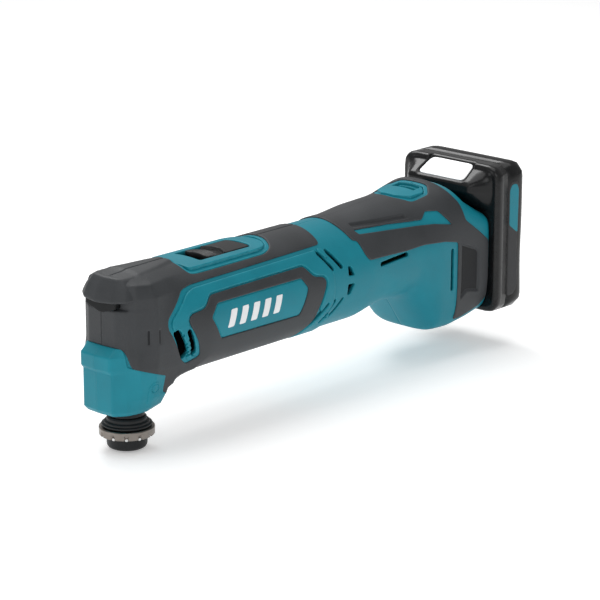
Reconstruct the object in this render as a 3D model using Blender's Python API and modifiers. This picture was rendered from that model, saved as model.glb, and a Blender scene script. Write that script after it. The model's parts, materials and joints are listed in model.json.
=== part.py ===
"""Cordless oscillating multi-tool: every sub-part is its own closed mesh, in metres, +Z up.

The spindle turns about X = 0, Y = 0, the nose points to -X, the battery slides off towards +Z
and the lowest face, the clamp under the spindle, stands at Z = 0. Lengths below are in
millimetres and MM turns them into metres where a mesh is made.
"""

import math

import bmesh
import bpy
from mathutils import Vector

MM = 0.001

# Fits and walls
GAP = 0.3
WALL = 3.3
RUBBER = 1.3
SEAM = 0.12

# Barrel and drive line, which share one axis along X
AXIS_Z = 58.2
BARREL_R = 27.5
BARREL_TOP = AXIS_Z + BARREL_R
BARREL_LOW = AXIS_Z - BARREL_R

# Head and spindle
COLUMN_LOW = 20.3
HEAD_TOP = BARREL_TOP - 0.15
ECCENTRIC = 0.43
ECCENTRIC_X = 16.0
SPINDLE_R = 5.0
CASE_R = 11.2
CLAMP_R = 9.7
FLANGE_R = 13.3
FLANGE_LOW, FLANGE_TOP = 6.5, 10.8
NOTCHES = 12

# Motor
MOTOR_R = 18.0
MOTOR_FRONT, MOTOR_REAR = 40.0, 97.0

# Switch on top of the barrel
PLATE_FRONT, PLATE_REAR, PLATE_HALF = 30.0, 89.0, 15.0
PLATE_LOW, PLATE_TOP = 81.1, 83.8
WINDOW_FRONT, WINDOW_REAR, WINDOW_HALF = 41.5, 77.0, 8.4
SWITCH_TRAVEL = 6.0

# Speed dial
DIAL_X, DIAL_Z, DIAL_R, DIAL_WIDE = 201.0, 76.3, 11.0, 4.6
COVER_FRONT, COVER_REAR, COVER_HALF = 184.0, 206.0, 12.0

# Battery pack and its rail
BODY_REAR = 235.8
PACK_FRONT, PACK_REAR, PACK_HALF = 236.3, 261.0, 32.5
PACK_LOW, PACK_TOP = 19.0, 98.0
PACK_SPLIT = 245.0
RAIL_LOW, RAIL_TOP, RAIL_NECK, RAIL_HEAD = 33.0, 70.0, 14.0, 17.6
CELL_R, CELL_LONG, CELL_X, CELL_PITCH = 9.0, 65.0, 250.5, 18.6
BUTTON_FRONT, BUTTON_BACK = (228.0, 89.8), (240.6, 97.3)

# Body sections: x, lowest z, highest z, half width, squareness below and above the axis
BODY = (
    (2.0, 46.0, BARREL_TOP - 1.0, 20.4, 2.2, 2.4),
    (19.0, 35.5, BARREL_TOP, 25.6, 2.1, 2.2),
    (31.0, BARREL_LOW, BARREL_TOP, BARREL_R, 2.0, 2.0),
    (90.0, BARREL_LOW, BARREL_TOP, BARREL_R, 2.0, 2.0),
    (147.0, BARREL_LOW, BARREL_TOP, BARREL_R, 2.0, 2.0),
    (154.0, 33.2, 86.6, 26.9, 2.1, 2.1),
    (162.0, 35.5, 87.5, 26.6, 2.2, 2.2),
    (184.0, 35.2, 88.3, 26.8, 2.3, 2.2),
    (192.0, 24.0, 88.8, 27.4, 3.0, 2.3),
    (199.0, 13.4, 90.2, 28.0, 4.0, 2.4),
    (211.0, 14.0, 92.4, 28.0, 5.0, 2.6),
    (219.5, 15.4, 89.6, 28.0, 5.0, 2.6),
    (223.5, 16.0, 83.0, 28.0, 5.0, 3.0),
    (BODY_REAR, 18.5, 74.2, 28.0, 5.0, 5.0),
)

# Head sections: z, how much of an inset goes up, then (x, y) from the front centre round one side
COLUMN_FRONT = ((-18.8, 0), (-18.2, 9.4), (-12.8, 13.4))
CHIN_FRONT = ((-20.6, 0), (-20.0, 9.4), (-13.4, 13.5))
FACE_FRONT = ((-15.2, 0), (-14.8, 8.8), (-11.8, 14.0))
HEAD_REAR = ((30, 19.0), (33, 9.0), (34, 0))
HEAD = (
    (COLUMN_LOW, 0.66, (-17, 0), (-16.4, 8.4), (-11.6, 12.2), (-6, 13.6), (0, 13.8), (8.6, 10.8),
     (13.2, 4.5), (13.8, 0)),
    (22.6, 0.6, *COLUMN_FRONT, (-6, 14.8), (0, 15.2), (9.4, 12.0), (14.2, 5.2), (15, 0)),
    (28.0, 0.3, *COLUMN_FRONT, (-6, 15.6), (0, 16.4), (13.0, 13.6), (17.5, 6.0), (18.5, 0)),
    (31.5, 0.1, *COLUMN_FRONT, (-6, 16.6), (0, 17.8), (19.0, 15.2), (24.0, 7.0), (25, 0)),
    (35.5, 0, *COLUMN_FRONT, (-7, 17.6), (0, 19.6), (28.0, 17.2), (31.0, 8.0), (32, 0)),
    (41.2, 0, *COLUMN_FRONT, (-8, 18.4), (0, 21.2), *HEAD_REAR),
    (43.2, 0, *CHIN_FRONT, (-9, 18.2), (0, 21.6), *HEAD_REAR),
    (49.2, 0, *CHIN_FRONT, (-9, 17.6), (0, 22.0), *HEAD_REAR),
    (53.0, 0, *FACE_FRONT, (-9, 17.0), (0, 22.0), *HEAD_REAR),
    (77.2, 0.6, *FACE_FRONT, (-9, 17.0), (0, 21.6), (30, 16), (32, 8), (33, 0)),
    (78.0, 0.6, (-20.4, 0), (-17.6, 9.2), (-14.4, 14.4), (-9, 17.6), (0, 21.4), (30, 15),
     (32, 8), (33, 0)),
    (82.6, -0.2, (-18.0, 0), (-15.6, 9.0), (-12.4, 13.2), (-8, 15.6), (0, 17.8), (30, 9),
     (32, 5), (33, 0)),
    (HEAD_TOP, -1, (-12.6, 0), (-11.8, 7.4), (-9.4, 9.4), (-5, 10.2), (0, 10.4), (30, 3),
     (32, 1.5), (33, 0)),
)

# Outlines seen from the side: (x, z)
FRONT_RUBBER = (
    (116.5, 96), (115.2, 78.6), (21.5, 77), (17.2, 76.5), (6.2, 64.7), (6.2, 60.5), (16.2, 43.1),
    (20, 39.8), (26.9, 42.5), (23.4, 51), (17.3, 61.8), (18.5, 65.4), (27.4, 66.7), (32.5, 72),
    (97.3, 72.6), (102.5, 66.6), (109.5, 65.2), (110.8, 62.5), (106.6, 51.6), (105.4, 44.1),
    (100.8, 35.8), (100.8, 24), (24, 19), (8.6, 24), (8.4, 28), (6.2, 29.2), (6.6, 37),
    (-11.2, 43.4), (-13.4, 53.2), (-30, 53.2), (-30, 96),
)
NAMEPLATE = ((35.4, 67.7), (93.8, 67.7), (97.7, 62), (92.3, 49.1), (37.4, 49.9), (30.5, 61.9))
REAR_RUBBER = (
    (135.5, 100), (135.5, 84), (137.4, 76.4), (139.5, 72), (142.2, 67.9), (145.4, 66.4), (150, 65.8),
    (186, 66), (201, 64.9), (210.4, 62.7), (210.5, 23.5), (217, 23.6), (229, 26.4), (232.6, 30),
    (232.6, 60.6), (217.6, 73.4), (216.4, 81.7), (211.4, 91.4), (211.4, 100),
)
REAR_STRIPE = ((141, 80.2), (190, 79.6), (207, 74.2), (209, 77), (199, 81.8), (190, 83), (143, 82.4))
PACK_SIDE = (
    (PACK_FRONT, PACK_LOW), (PACK_FRONT, 75.2), (225.6, 84.0), (226.2, 88.0), BUTTON_FRONT,
    BUTTON_BACK, (246, PACK_TOP), (PACK_REAR, PACK_TOP), (PACK_REAR, PACK_LOW),
)

# Vent slots through both shells: (x, z) of one end, of the other, and the width
VENTS = (
    ((11.6, 57.5), (17.4, 45.2), 3.6), ((17.6, 57.2), (22.4, 45.4), 2.6),
    ((110.4, 76.0), (116.8, 67.4), 2.3), ((117.2, 76.0), (123.4, 67.4), 2.3),
    ((129.6, 66.0), (129.6, 62.4), 3.4), ((128.8, 57.0), (128.8, 52.8), 3.4),
    ((104.8, 41.2), (112.4, 50.4), 1.8), ((111.6, 41.0), (118.0, 50.8), 1.8),
    ((117.2, 41.6), (123.6, 50.6), 1.8), ((153.5, 63.0), (172.5, 63.6), 2.3),
    ((208.6, 39.0), (208.6, 58.0), 2.0),
)

# Screws that hold the two shells together, put in from +Y: (x, z) and the boss's half length
SCREWS = ((15.4, 37.0, 17.4), (66.0, 37.0, 13.0), (142.0, 40.0, 17.2), (222.0, 27.0, 26.4))
BOSS_R, SINK_R, SCREW_HEAD_R, SCREW_R = 2.9, 2.45, 2.1, 1.2
SINK_Y = 8.0

COLOURS = {
    "teal_nylon": ((0.020, 0.225, 0.275), 0.42, 0.0),
    "grip_rubber": ((0.055, 0.060, 0.064), 0.66, 0.0),
    "black_plastic": ((0.012, 0.012, 0.013), 0.30, 0.0),
    "grey_plastic": ((0.070, 0.073, 0.078), 0.48, 0.0),
    "dark_steel": ((0.16, 0.15, 0.14), 0.34, 1.0),
    "bright_steel": ((0.62, 0.62, 0.61), 0.26, 1.0),
    "cast_aluminium": ((0.55, 0.56, 0.57), 0.42, 1.0),
    "copper": ((0.72, 0.36, 0.20), 0.32, 1.0),
    "brass": ((0.75, 0.56, 0.24), 0.30, 1.0),
    "carbon": ((0.03, 0.03, 0.03), 0.60, 0.0),
    "ferrite": ((0.06, 0.06, 0.06), 0.55, 0.0),
    "circuit_green": ((0.03, 0.16, 0.07), 0.45, 0.0),
    "clear_lens": ((0.80, 0.82, 0.84), 0.10, 0.0),
    "cell_wrap": ((0.02, 0.22, 0.42), 0.35, 0.0),
    "lead_red": ((0.45, 0.02, 0.02), 0.45, 0.0),
    "lead_black": ((0.015, 0.015, 0.015), 0.45, 0.0),
    "white_print": ((0.80, 0.81, 0.82), 0.40, 0.0),
}


# ---------------------------------------------------------------- scene and helpers


def clear_scene():
    for thing in list(bpy.data.objects):
        bpy.data.objects.remove(thing, do_unlink=True)


def new_collection(name):
    made = bpy.data.collections.new(name)
    bpy.context.scene.collection.children.link(made)
    return made


def make_materials():
    made = {}
    for name, (colour, roughness, metallic) in COLOURS.items():
        finish = bpy.data.materials.new(name)
        finish.use_nodes = True
        shader = finish.node_tree.nodes["Principled BSDF"]
        shader.inputs["Base Color"].default_value = (*colour, 1)
        shader.inputs["Roughness"].default_value = roughness
        shader.inputs["Metallic"].default_value = metallic
        finish.diffuse_color = (*colour, 1)
        made[name] = finish
    return made


def put(name, bm, finish=None, at=(0, 0, 0)):
    """Turns a bmesh in millimetres into an object: a part if it has a finish, or else a cutter."""
    bmesh.ops.scale(bm, vec=(MM, MM, MM), verts=bm.verts)
    mesh = bpy.data.meshes.new(name)
    bm.to_mesh(mesh)
    bm.free()
    thing = bpy.data.objects.new(name, mesh)
    thing.location = Vector(at) * MM
    if finish:
        mesh.materials.append(materials[finish])
        parts.objects.link(thing)
    else:
        thing.hide_render = True
        thing.display_type = "WIRE"
        cutters.objects.link(thing)
    return thing


def box(name, x, y, z, finish=None, bevel=0.0):
    """A box between two limits on each axis, its edges rounded by a Bevel where it asks for one."""
    limits = [x, y, z]
    centre = [(low + high) / 2 for low, high in limits]
    bm = bmesh.new()
    bmesh.ops.create_cube(bm, size=1)
    bmesh.ops.scale(bm, vec=[high - low for low, high in limits], verts=bm.verts)
    made = put(name, bm, finish, centre)
    if bevel:
        round_edges(made, bevel)
    return made


def round_edges(thing, width, segments=2, angle=35):
    edges = thing.modifiers.new("edges", "BEVEL")
    edges.width = width * MM
    edges.segments = segments
    edges.limit_method = "ANGLE"
    edges.angle_limit = math.radians(angle)


def cylinder(name, radius, start, end, finish=None, sides=24):
    """A cylinder from one point to another."""
    start, end = Vector(start), Vector(end)
    bm = bmesh.new()
    length = (end - start).length
    bmesh.ops.create_cone(
        bm, cap_ends=True, segments=sides, radius1=radius, radius2=radius, depth=length
    )
    made = put(name, bm, finish, (start + end) / 2)
    made.rotation_euler = (end - start).to_track_quat("Z", "Y").to_euler()
    return made


def lathe(name, profile, axis, at, finish=None, steps=24):
    """Turns a closed profile of (radius, distance along the axis) about X or Z through a point."""
    bm = bmesh.new()
    ring = [bm.verts.new((radius, 0, along)) for radius, along in profile]
    for here, there in zip(ring, ring[1:] + ring[:1]):
        if here.co.x or there.co.x:
            bm.edges.new((here, there))
    made = put(name, bm, finish, at)
    turn = made.modifiers.new("turn", "SCREW")
    turn.steps = turn.render_steps = steps
    turn.use_merge_vertices = True
    turn.merge_threshold = 0.00001
    bake(made)
    face_out(made)
    if axis == "X":
        made.rotation_euler = (0, math.pi / 2, 0)
    return made


def loft(name, rings, finish=None):
    """Skins rings of equal count that don't share a shape, and closes both ends.

    Each twisted quad is split along the same diagonal, so that an inset copy stays inside.
    """
    bm = bmesh.new()
    rows = [[bm.verts.new(point) for point in ring] for ring in rings]
    for low, high in zip(rows, rows[1:]):
        for i in range(len(low)):
            j = (i + 1) % len(low)
            bm.faces.new((low[i], low[j], high[j]))
            bm.faces.new((low[i], high[j], high[i]))
    bm.faces.new(rows[0])
    bm.faces.new(rows[-1])
    return face_out(put(name, bm, finish))


def prism(name, outline, low, high, axis="Y", finish=None):
    """Extrudes an outline: (x, z) along Y, or (x, y) along Z."""
    place = {"Y": lambda u, v, d: (u, d, v), "Z": lambda u, v, d: (u, v, d)}[axis]
    bm = bmesh.new()
    face = bm.faces.new([bm.verts.new(place(u, v, low)) for u, v in outline])
    risen = bmesh.ops.extrude_face_region(bm, geom=[face])["geom"]
    corners = [item for item in risen if isinstance(item, bmesh.types.BMVert)]
    bmesh.ops.translate(bm, verts=corners, vec=place(0, 0, high - low))
    return face_out(put(name, bm, finish))


def tube(name, points, radius, finish, resolution=4):
    """A wire along hand-chosen points, as a curve with a bevel that is then made a mesh."""
    curve = bpy.data.curves.new(name, "CURVE")
    curve.dimensions = "3D"
    curve.bevel_depth = radius * MM
    curve.bevel_resolution = 1
    curve.resolution_u = resolution
    curve.use_fill_caps = True
    spline = curve.splines.new("BEZIER")
    spline.bezier_points.add(len(points) - 1)
    for knot, point in zip(spline.bezier_points, points):
        knot.co = Vector(point) * MM
        knot.handle_left_type = knot.handle_right_type = "AUTO"
    guide = bpy.data.objects.new(name + "_guide", curve)
    bpy.context.scene.collection.objects.link(guide)
    bm = bmesh.new()
    bm.from_mesh(mesh_of(guide))
    bpy.data.objects.remove(guide)
    bmesh.ops.remove_doubles(bm, verts=bm.verts, dist=0.00001)
    bmesh.ops.scale(bm, vec=(1 / MM, 1 / MM, 1 / MM), verts=bm.verts)
    return face_out(put(name, bm, finish))


def face_out(thing):
    """Turns every face of a simple solid outwards. A hollow one would have its cavity filled."""
    bm = bmesh.new()
    bm.from_mesh(thing.data)
    bmesh.ops.recalc_face_normals(bm, faces=bm.faces)
    bm.to_mesh(thing.data)
    bm.free()
    return thing


def mesh_of(thing):
    graph = bpy.context.evaluated_depsgraph_get()
    return bpy.data.meshes.new_from_object(thing.evaluated_get(graph))


def bake(thing):
    """Replaces an object's mesh by what its modifiers make of it."""
    bm = bmesh.new()
    bm.from_mesh(mesh_of(thing))
    thing.modifiers.clear()
    bm.to_mesh(thing.data)
    bm.free()
    return thing


def combine(thing, operation, *others):
    for other in others:
        step = thing.modifiers.new(operation.lower(), "BOOLEAN")
        step.operation = operation
        step.solver = solver
        step.object = other
    return thing


def cut(thing, *others):
    return combine(thing, "DIFFERENCE", *others)


def add(thing, *others):
    return combine(thing, "UNION", *others)


def keep(thing, *others):
    return combine(thing, "INTERSECT", *others)


def copy_of(thing, name, finish=None):
    """A baked copy of a helper, as a part if it has a finish."""
    bm = bmesh.new()
    bm.from_mesh(mesh_of(thing))
    bm.transform(thing.matrix_world)
    bmesh.ops.scale(bm, vec=(1 / MM, 1 / MM, 1 / MM), verts=bm.verts)
    return put(name, bm, finish)


def grown(outline, by):
    """The outline moved outwards by a distance, along the mean normal at each corner."""
    area = sum(a[0] * b[1] - b[0] * a[1] for a, b in zip(outline, outline[1:] + outline[:1]))
    turn = math.copysign(1, area)
    moved = []
    for i, here in enumerate(outline):
        before, after = Vector(outline[i - 1]), Vector(outline[(i + 1) % len(outline)])
        here = Vector(here)
        arrive, leave = (here - before).normalized(), (after - here).normalized()
        first = Vector((arrive.y, -arrive.x)) * turn
        second = Vector((leave.y, -leave.x)) * turn
        middle = (first + second).normalized()
        moved.append(tuple(here + middle * by / max(middle.dot(first), 0.35)))
    return moved


# ---------------------------------------------------------------- housing


def body_ring(x, low, top, half, square_low, square_top, inset, count=28):
    """One closed section of the body: a superellipse with its own squareness above and below."""
    ring = []
    for i in range(count):
        angle = 2 * math.pi * i / count
        c, s = math.cos(angle), math.sin(angle)
        power = 2 / (square_top if s > 0 else square_low)
        reach = (top - inset - AXIS_Z) if s > 0 else (AXIS_Z - low - inset)
        y = math.copysign(abs(c) ** power, c) * (half - inset)
        z = AXIS_Z + math.copysign(abs(s) ** power, s) * reach
        ring.append((x, y, z))
    return ring


def head_ring(z, rise, *side_and_inset):
    """One closed level of the head, moved inwards where a wall is wanted."""
    *side, inset = side_and_inset
    outline = side + [(x, -y) for x, y in side[-2:0:-1]]
    inside = grown(outline, -inset) if inset else outline
    last = len(side) - 1
    half = [(x, max(y, 0.4)) if 0 < i < last else (x, 0) for i, (x, y) in enumerate(inside[: last + 1])]
    return [(x, y, z + rise * inset) for x, y in half + [(x, -y) for x, y in half[-2:0:-1]]]


def skin(name, inset):
    """The tool's outer shape, body and head in one, moved inwards by an inset."""
    rings = [body_ring(*section, inset) for section in BODY]
    rings[0] = [(x + inset / 2, y, z) for x, y, z in rings[0]]
    rings[-1] = [(x - inset, y, z) for x, y, z in rings[-1]]
    body = loft(name + "_body", rings)
    head = loft(name + "_head", [head_ring(*level, inset) for level in HEAD])
    bake(add(head, body))
    return head


def vent_cutter(number, start, end, width):
    """A slot with square ends through both side walls."""
    start, end = Vector(start), Vector(end)
    along = (end - start).normalized() * width / 2
    across = Vector((-along.y, along.x))
    corners = (start - across, start + across, end + across, end - across)
    return prism(f"vent_{number}", [tuple(c) for c in corners], -60, 60)


def rubber_layer(name, outline, outer, inner, *holes):
    """The layer between two skins, inside an outline seen from the side."""
    layer = copy_of(outer, name + "_layer")
    return bake(keep(cut(layer, inner, *holes), prism(name + "_outline", outline, -60, 60)))


def halves(whole, left_name, right_name, finish):
    """The two halves of a symmetric piece, with the seam's gap between them."""
    made = []
    for name, limits in ((left_name, (-70, -SEAM)), (right_name, (SEAM, 70))):
        half = copy_of(whole, name, finish)
        side = box(name + "_side", (-60, 300), limits, (-20, 140))
        made.append(bake(keep(half, side)))
    return made


def build_housing():
    outer, under, inner = skin("outer", 0), skin("under", RUBBER + 3 * GAP), skin("inner", WALL)
    rubber_back = skin("rubber_back", RUBBER)

    plate_seat = box(
        "plate_seat",
        (PLATE_FRONT - GAP, PLATE_REAR + GAP),
        (-PLATE_HALF - GAP, PLATE_HALF + GAP),
        (PLATE_LOW - GAP, 100),
    )
    cover_seat = box(
        "cover_seat",
        (COVER_FRONT - GAP, COVER_REAR + GAP),
        (-COVER_HALF - GAP, COVER_HALF + GAP),
        (82.6, 110),
    )
    led_window = box("led_window", (-30, -11.5), (-8.5, 8.5), (71.0, 77.3))
    plate_pocket = cut(
        prism("name_pocket", grown(NAMEPLATE, GAP), -60, 60),
        copy_of(under, "name_floor"),
    )
    bake(plate_pocket)

    front = rubber_layer(
        "front", FRONT_RUBBER, outer, rubber_back, plate_seat, led_window,
        prism("name_hole", grown(NAMEPLATE, GAP), -60, 60),
    )
    rear = rubber_layer(
        "rear", REAR_RUBBER, outer, rubber_back, cover_seat,
        prism("stripe_hole", REAR_STRIPE, -60, 60),
    )
    front_pocket = bake(cut(prism("front_pocket", grown(FRONT_RUBBER, GAP), -60, 60), under))
    stripe = prism("stripe_keep", grown(REAR_STRIPE, -GAP), -61, 61)
    rear_pocket = bake(cut(prism("rear_pocket", grown(REAR_RUBBER, GAP), -60, 60), under, stripe))

    shell = copy_of(outer, "shell_whole")
    cut(shell, inner)
    bake(shell)
    for number, (x, z, reach) in enumerate(SCREWS, 1):
        add(shell, cylinder(f"boss_{number}", BOSS_R, (x, -reach, z), (x, reach, z), sides=14))
    bake(shell)
    spindle_hole = cylinder("spindle_hole", 9.0, (0, 0, 10), (0, 0, 26), sides=32)
    block_hole = box(
        "block_hole", (228, 245), (-RAIL_NECK - 0.4, RAIL_NECK + 0.4), (RAIL_LOW - 0.4, RAIL_TOP + 0.4)
    )
    cut(shell, front_pocket, rear_pocket, plate_pocket, plate_seat, cover_seat)
    cut(shell, led_window, spindle_hole, block_hole)
    cut(shell, *[vent_cutter(n, *vent) for n, vent in enumerate(VENTS, 1)])
    bake(shell)

    left, right = halves(shell, "left_housing_shell", "right_housing_shell", "teal_nylon")
    for number, (x, z, reach) in enumerate(SCREWS, 1):
        cut(left, cylinder(f"pilot_{number}", 1.5, (x, -8, z), (x, 5, z), sides=10))
        cut(right, cylinder(f"through_{number}", 1.6, (x, -2, z), (x, 20, z), sides=10))
        cut(right, cylinder(f"sink_{number}", SINK_R, (x, SINK_Y, z), (x, 60, z), sides=12))
    bake(left)
    bake(right)
    fronts = halves(front, "left_front_overmould", "right_front_overmould", "grip_rubber")
    for number, (x, z, reach) in enumerate(SCREWS[:2], 1):
        cut(fronts[1], cylinder(f"rubber_{number}", SINK_R, (x, SINK_Y, z), (x, 60, z), sides=12))
    bake(fronts[1])
    rears = halves(rear, "left_rear_overmould", "right_rear_overmould", "grip_rubber")
    x, z, reach = SCREWS[3]
    cut(rears[1], cylinder("rubber_4", SINK_R, (x, SINK_Y, z), (x, 60, z), sides=12))
    bake(rears[1])

    for name, side in (("left_nameplate", -1), ("right_nameplate", 1)):
        plate = copy_of(outer, name, "teal_nylon")
        block = prism(name + "_block", NAMEPLATE, *sorted((side * 4.0, side * 60.0)))
        bake(keep(cut(plate, rubber_back), block))


def build_screws():
    for number, (x, z, reach) in enumerate(SCREWS, 1):
        profile = ((0, -12), (SCREW_R, -12), (SCREW_R, 0), (SCREW_HEAD_R, 0), (SCREW_HEAD_R, 2), (0, 2))
        at = (x, SINK_Y + GAP, z)
        screw = lathe(f"housing_screw_{number}", profile, "Z", at, "dark_steel", 12)
        screw.rotation_euler = (-math.pi / 2, 0, 0)
        slot = box(f"drive_{number}", (x - 1.2, x + 1.2), (at[1] + 1.2, 12), (z - 0.35, z + 0.35))
        cut(screw, slot)


# ---------------------------------------------------------------- switch, dial, light


def build_switch():
    plate = box(
        "switch_plate",
        (PLATE_FRONT, PLATE_REAR),
        (-PLATE_HALF, PLATE_HALF),
        (PLATE_LOW, PLATE_TOP),
        "teal_nylon",
        bevel=1.1,
    )
    window = box(
        "window", (WINDOW_FRONT, WINDOW_REAR), (-WINDOW_HALF, WINDOW_HALF), (PLATE_LOW - 2, 100)
    )
    cut(plate, window)

    front, rear = WINDOW_FRONT + SWITCH_TRAVEL + 0.4, WINDOW_REAR - GAP - 0.1
    half = WINDOW_HALF - 0.5
    grip = box("switch_slider", (front, rear), (-half, half), (79.0, 84.6), "black_plastic", bevel=0.6)
    foot = box("slider_foot", (46.6, 78.0), (-11, 11), (77.0, 79.3))
    thumb = cylinder("thumb_hollow", 16.0, (front + 9, -20, 99.0), (front + 9, 20, 99.0), sides=32)
    ribs = [
        box(f"rib_{i}", (front + 3 + 2.6 * i, front + 4.2 + 2.6 * i), (-6, 6), (83.0, 85.0))
        for i in range(5)
    ]
    cut(add(grip, foot), thumb)
    add(grip, *ribs)

    rod = box("switch_rod", (78.4, 120), (-2, 2), (77.2, 79.2), "grey_plastic")
    add(rod, box("rod_tab", (117, 119), (-2, 2), (73.6, 78.0)))
    switch = box("micro_switch", (113, 133), (-5.2, 5.2), (60, 72.6), "black_plastic", bevel=0.5)
    add(switch, box("switch_plunger", (115, 118), (-1.5, 1.5), (72, 73.3)))


def build_dial():
    cover = prism(
        "dial_cover",
        ((COVER_FRONT, 83.0), (COVER_REAR, 84.6), (COVER_REAR, 87.0), (COVER_FRONT, 85.4)),
        -COVER_HALF,
        COVER_HALF,
        finish="teal_nylon",
    )
    half = DIAL_WIDE / 2 + 0.4
    cut(cover, box("dial_slot", (DIAL_X - half, DIAL_X + half), (-8.4, 8.4), (75, 100)))
    half = DIAL_WIDE / 2
    profile = ((1.6, -half), (DIAL_R - 0.5, -half), (DIAL_R, 0.5 - half), (DIAL_R, half - 0.5),
               (DIAL_R - 0.5, half), (1.6, half))
    dial = lathe("speed_dial", profile, "X", (DIAL_X, 0, DIAL_Z), "black_plastic", 30)
    teeth = []
    for i in range(15):
        angle = 2 * math.pi * i / 15
        notch = box(f"knurl_{i}", (DIAL_X - 4, DIAL_X + 4), (-0.5, 0.5), (-0.5, 0.5))
        reach = (DIAL_R + 0.1) * MM
        notch.location.y = reach * math.cos(angle)
        notch.location.z = DIAL_Z * MM + reach * math.sin(angle)
        notch.rotation_euler.x = angle
        teeth.append(notch)
    cut(dial, *teeth)
    pot = box("speed_potentiometer", (191, 198.2), (-7, 7), (69, 81.6), "grey_plastic", bevel=0.6)
    add(pot, cylinder("pot_shaft", 1.3, (196, 0, DIAL_Z), (204.6, 0, DIAL_Z), sides=12))


def build_light():
    box("led_lens", (-14.8, -13.1), (-8.1, 8.1), (71.4, 76.9), "clear_lens", bevel=0.4)
    box("led_board", (-12.8, -11.8), (-8.1, 8.1), (71.4, 76.9), "circuit_green")


# ---------------------------------------------------------------- spindle and clamp


def bearing(name, outer, bore, start, width, axis, centre, finish="bright_steel"):
    """A closed ball bearing: one ring with a shallow groove in each face where its shield sits."""
    middle = (outer + bore) / 2
    end, dip = start + width, 0.4
    profile = (
        (bore, start), (middle, start + dip), (outer, start),
        (outer, end), (middle, end - dip), (bore, end),
    )
    return lathe(name, profile, axis, centre, finish, 20)


def build_spindle():
    lathe("spindle", (
        (0, 71.6), (3.9, 71.6), (3.9, 65.4), (SPINDLE_R, 65.4), (SPINDLE_R, 24.4), (6.0, 24.4),
        (6.0, 7.0), (3.4, 7.0), (3.4, 26.0), (0, 27.6),
    ), "Z", (0, 0, 0), "bright_steel")

    case = lathe("gear_case", (
        (6.4, 16.2), (8.6, 16.2), (8.6, 24.8), (CASE_R, 24.8), (CASE_R, 73.2), (3.0, 73.2),
        (3.0, 71.9), (8.15, 71.9), (8.15, 65.6), (9.65, 65.6), (9.65, 26.2), (6.4, 26.2),
    ), "Z", (0, 0, 0), "cast_aluminium")
    cut(case, box("fork_window", (0, 16), (-10.2, 10.2), (48.5, 65.2)))

    bearing("spindle_lower_bearing", 9.5, 5.15, 26.4, 5.0, "Z", (0, 0, 0))
    bearing("spindle_upper_bearing", 8.0, 4.05, 66.0, 5.0, "Z", (0, 0, 0))
    lathe("dust_cover", (
        (6.2, 11.2), (11.6, 11.2), (11.6, 12.6), (10.2, 13.2), (10.2, 14.2), (9.0, 15.7), (6.2, 15.7),
    ), "Z", (0, 0, 0), "grip_rubber")

    arm = lathe("swing_arm", ((5.15, 52.0), (8.4, 52.0), (8.4, 64.4), (5.15, 64.4)),
                "Z", (0, 0, 0), "dark_steel", 24)
    add(arm, *[
        box(f"tine_{i}", (2.0, 20.5), sorted((side * 7.1, side * 9.3)), (53.2, 63.4))
        for i, side in enumerate((-1, 1))
    ])


def build_flange():
    """The toothed ring that drives an accessory, with a short pin between the notches."""
    ring = lathe("holder_flange", (
        (6.15, FLANGE_LOW + 0.5), (CLAMP_R + 0.3, FLANGE_LOW + 0.5), (CLAMP_R + 0.3, FLANGE_LOW),
        (FLANGE_R - 0.6, FLANGE_LOW), (FLANGE_R, FLANGE_LOW + 0.6),
        (FLANGE_R, FLANGE_TOP - 0.8), (FLANGE_R - 0.8, FLANGE_TOP), (6.15, FLANGE_TOP),
    ), "Z", (0, 0, 0), "dark_steel", 48)
    notches = []
    for i in range(NOTCHES):
        angle = 2 * math.pi * (i + 0.5) / NOTCHES
        notch = box(f"notch_{i}", (-1.0, 1.0), (-1.3, 1.3), (FLANGE_LOW - 1, FLANGE_LOW + 2.6))
        notch.location.x = FLANGE_R * MM * math.cos(angle)
        notch.location.y = FLANGE_R * MM * math.sin(angle)
        notch.rotation_euler.z = angle
        notches.append(notch)
    cut(ring, *notches)


def build_clamp():
    lathe("clamp_flange", (
        (3.5, 3.6), (7.0, 3.6), (7.0, 0.0), (CLAMP_R - 1.8, 0.0), (CLAMP_R - 0.6, 0.5),
        (CLAMP_R, 1.7), (CLAMP_R, 6.2), (3.5, 6.2),
    ), "Z", (0, 0, 0), "black_plastic", 28)
    bolt = lathe("clamp_bolt", (
        (0, 0.3), (5.6, 0.3), (6.4, 1.1), (6.4, 3.3), (3.1, 3.3), (3.1, 20.2), (0, 20.2),
    ), "Z", (0, 0, 0), "dark_steel", 18)
    cut(bolt, cylinder("hex_socket", 2.9, (0, 0, -2), (0, 0, 2.8), sides=6))


# ---------------------------------------------------------------- motor and drive


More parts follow.
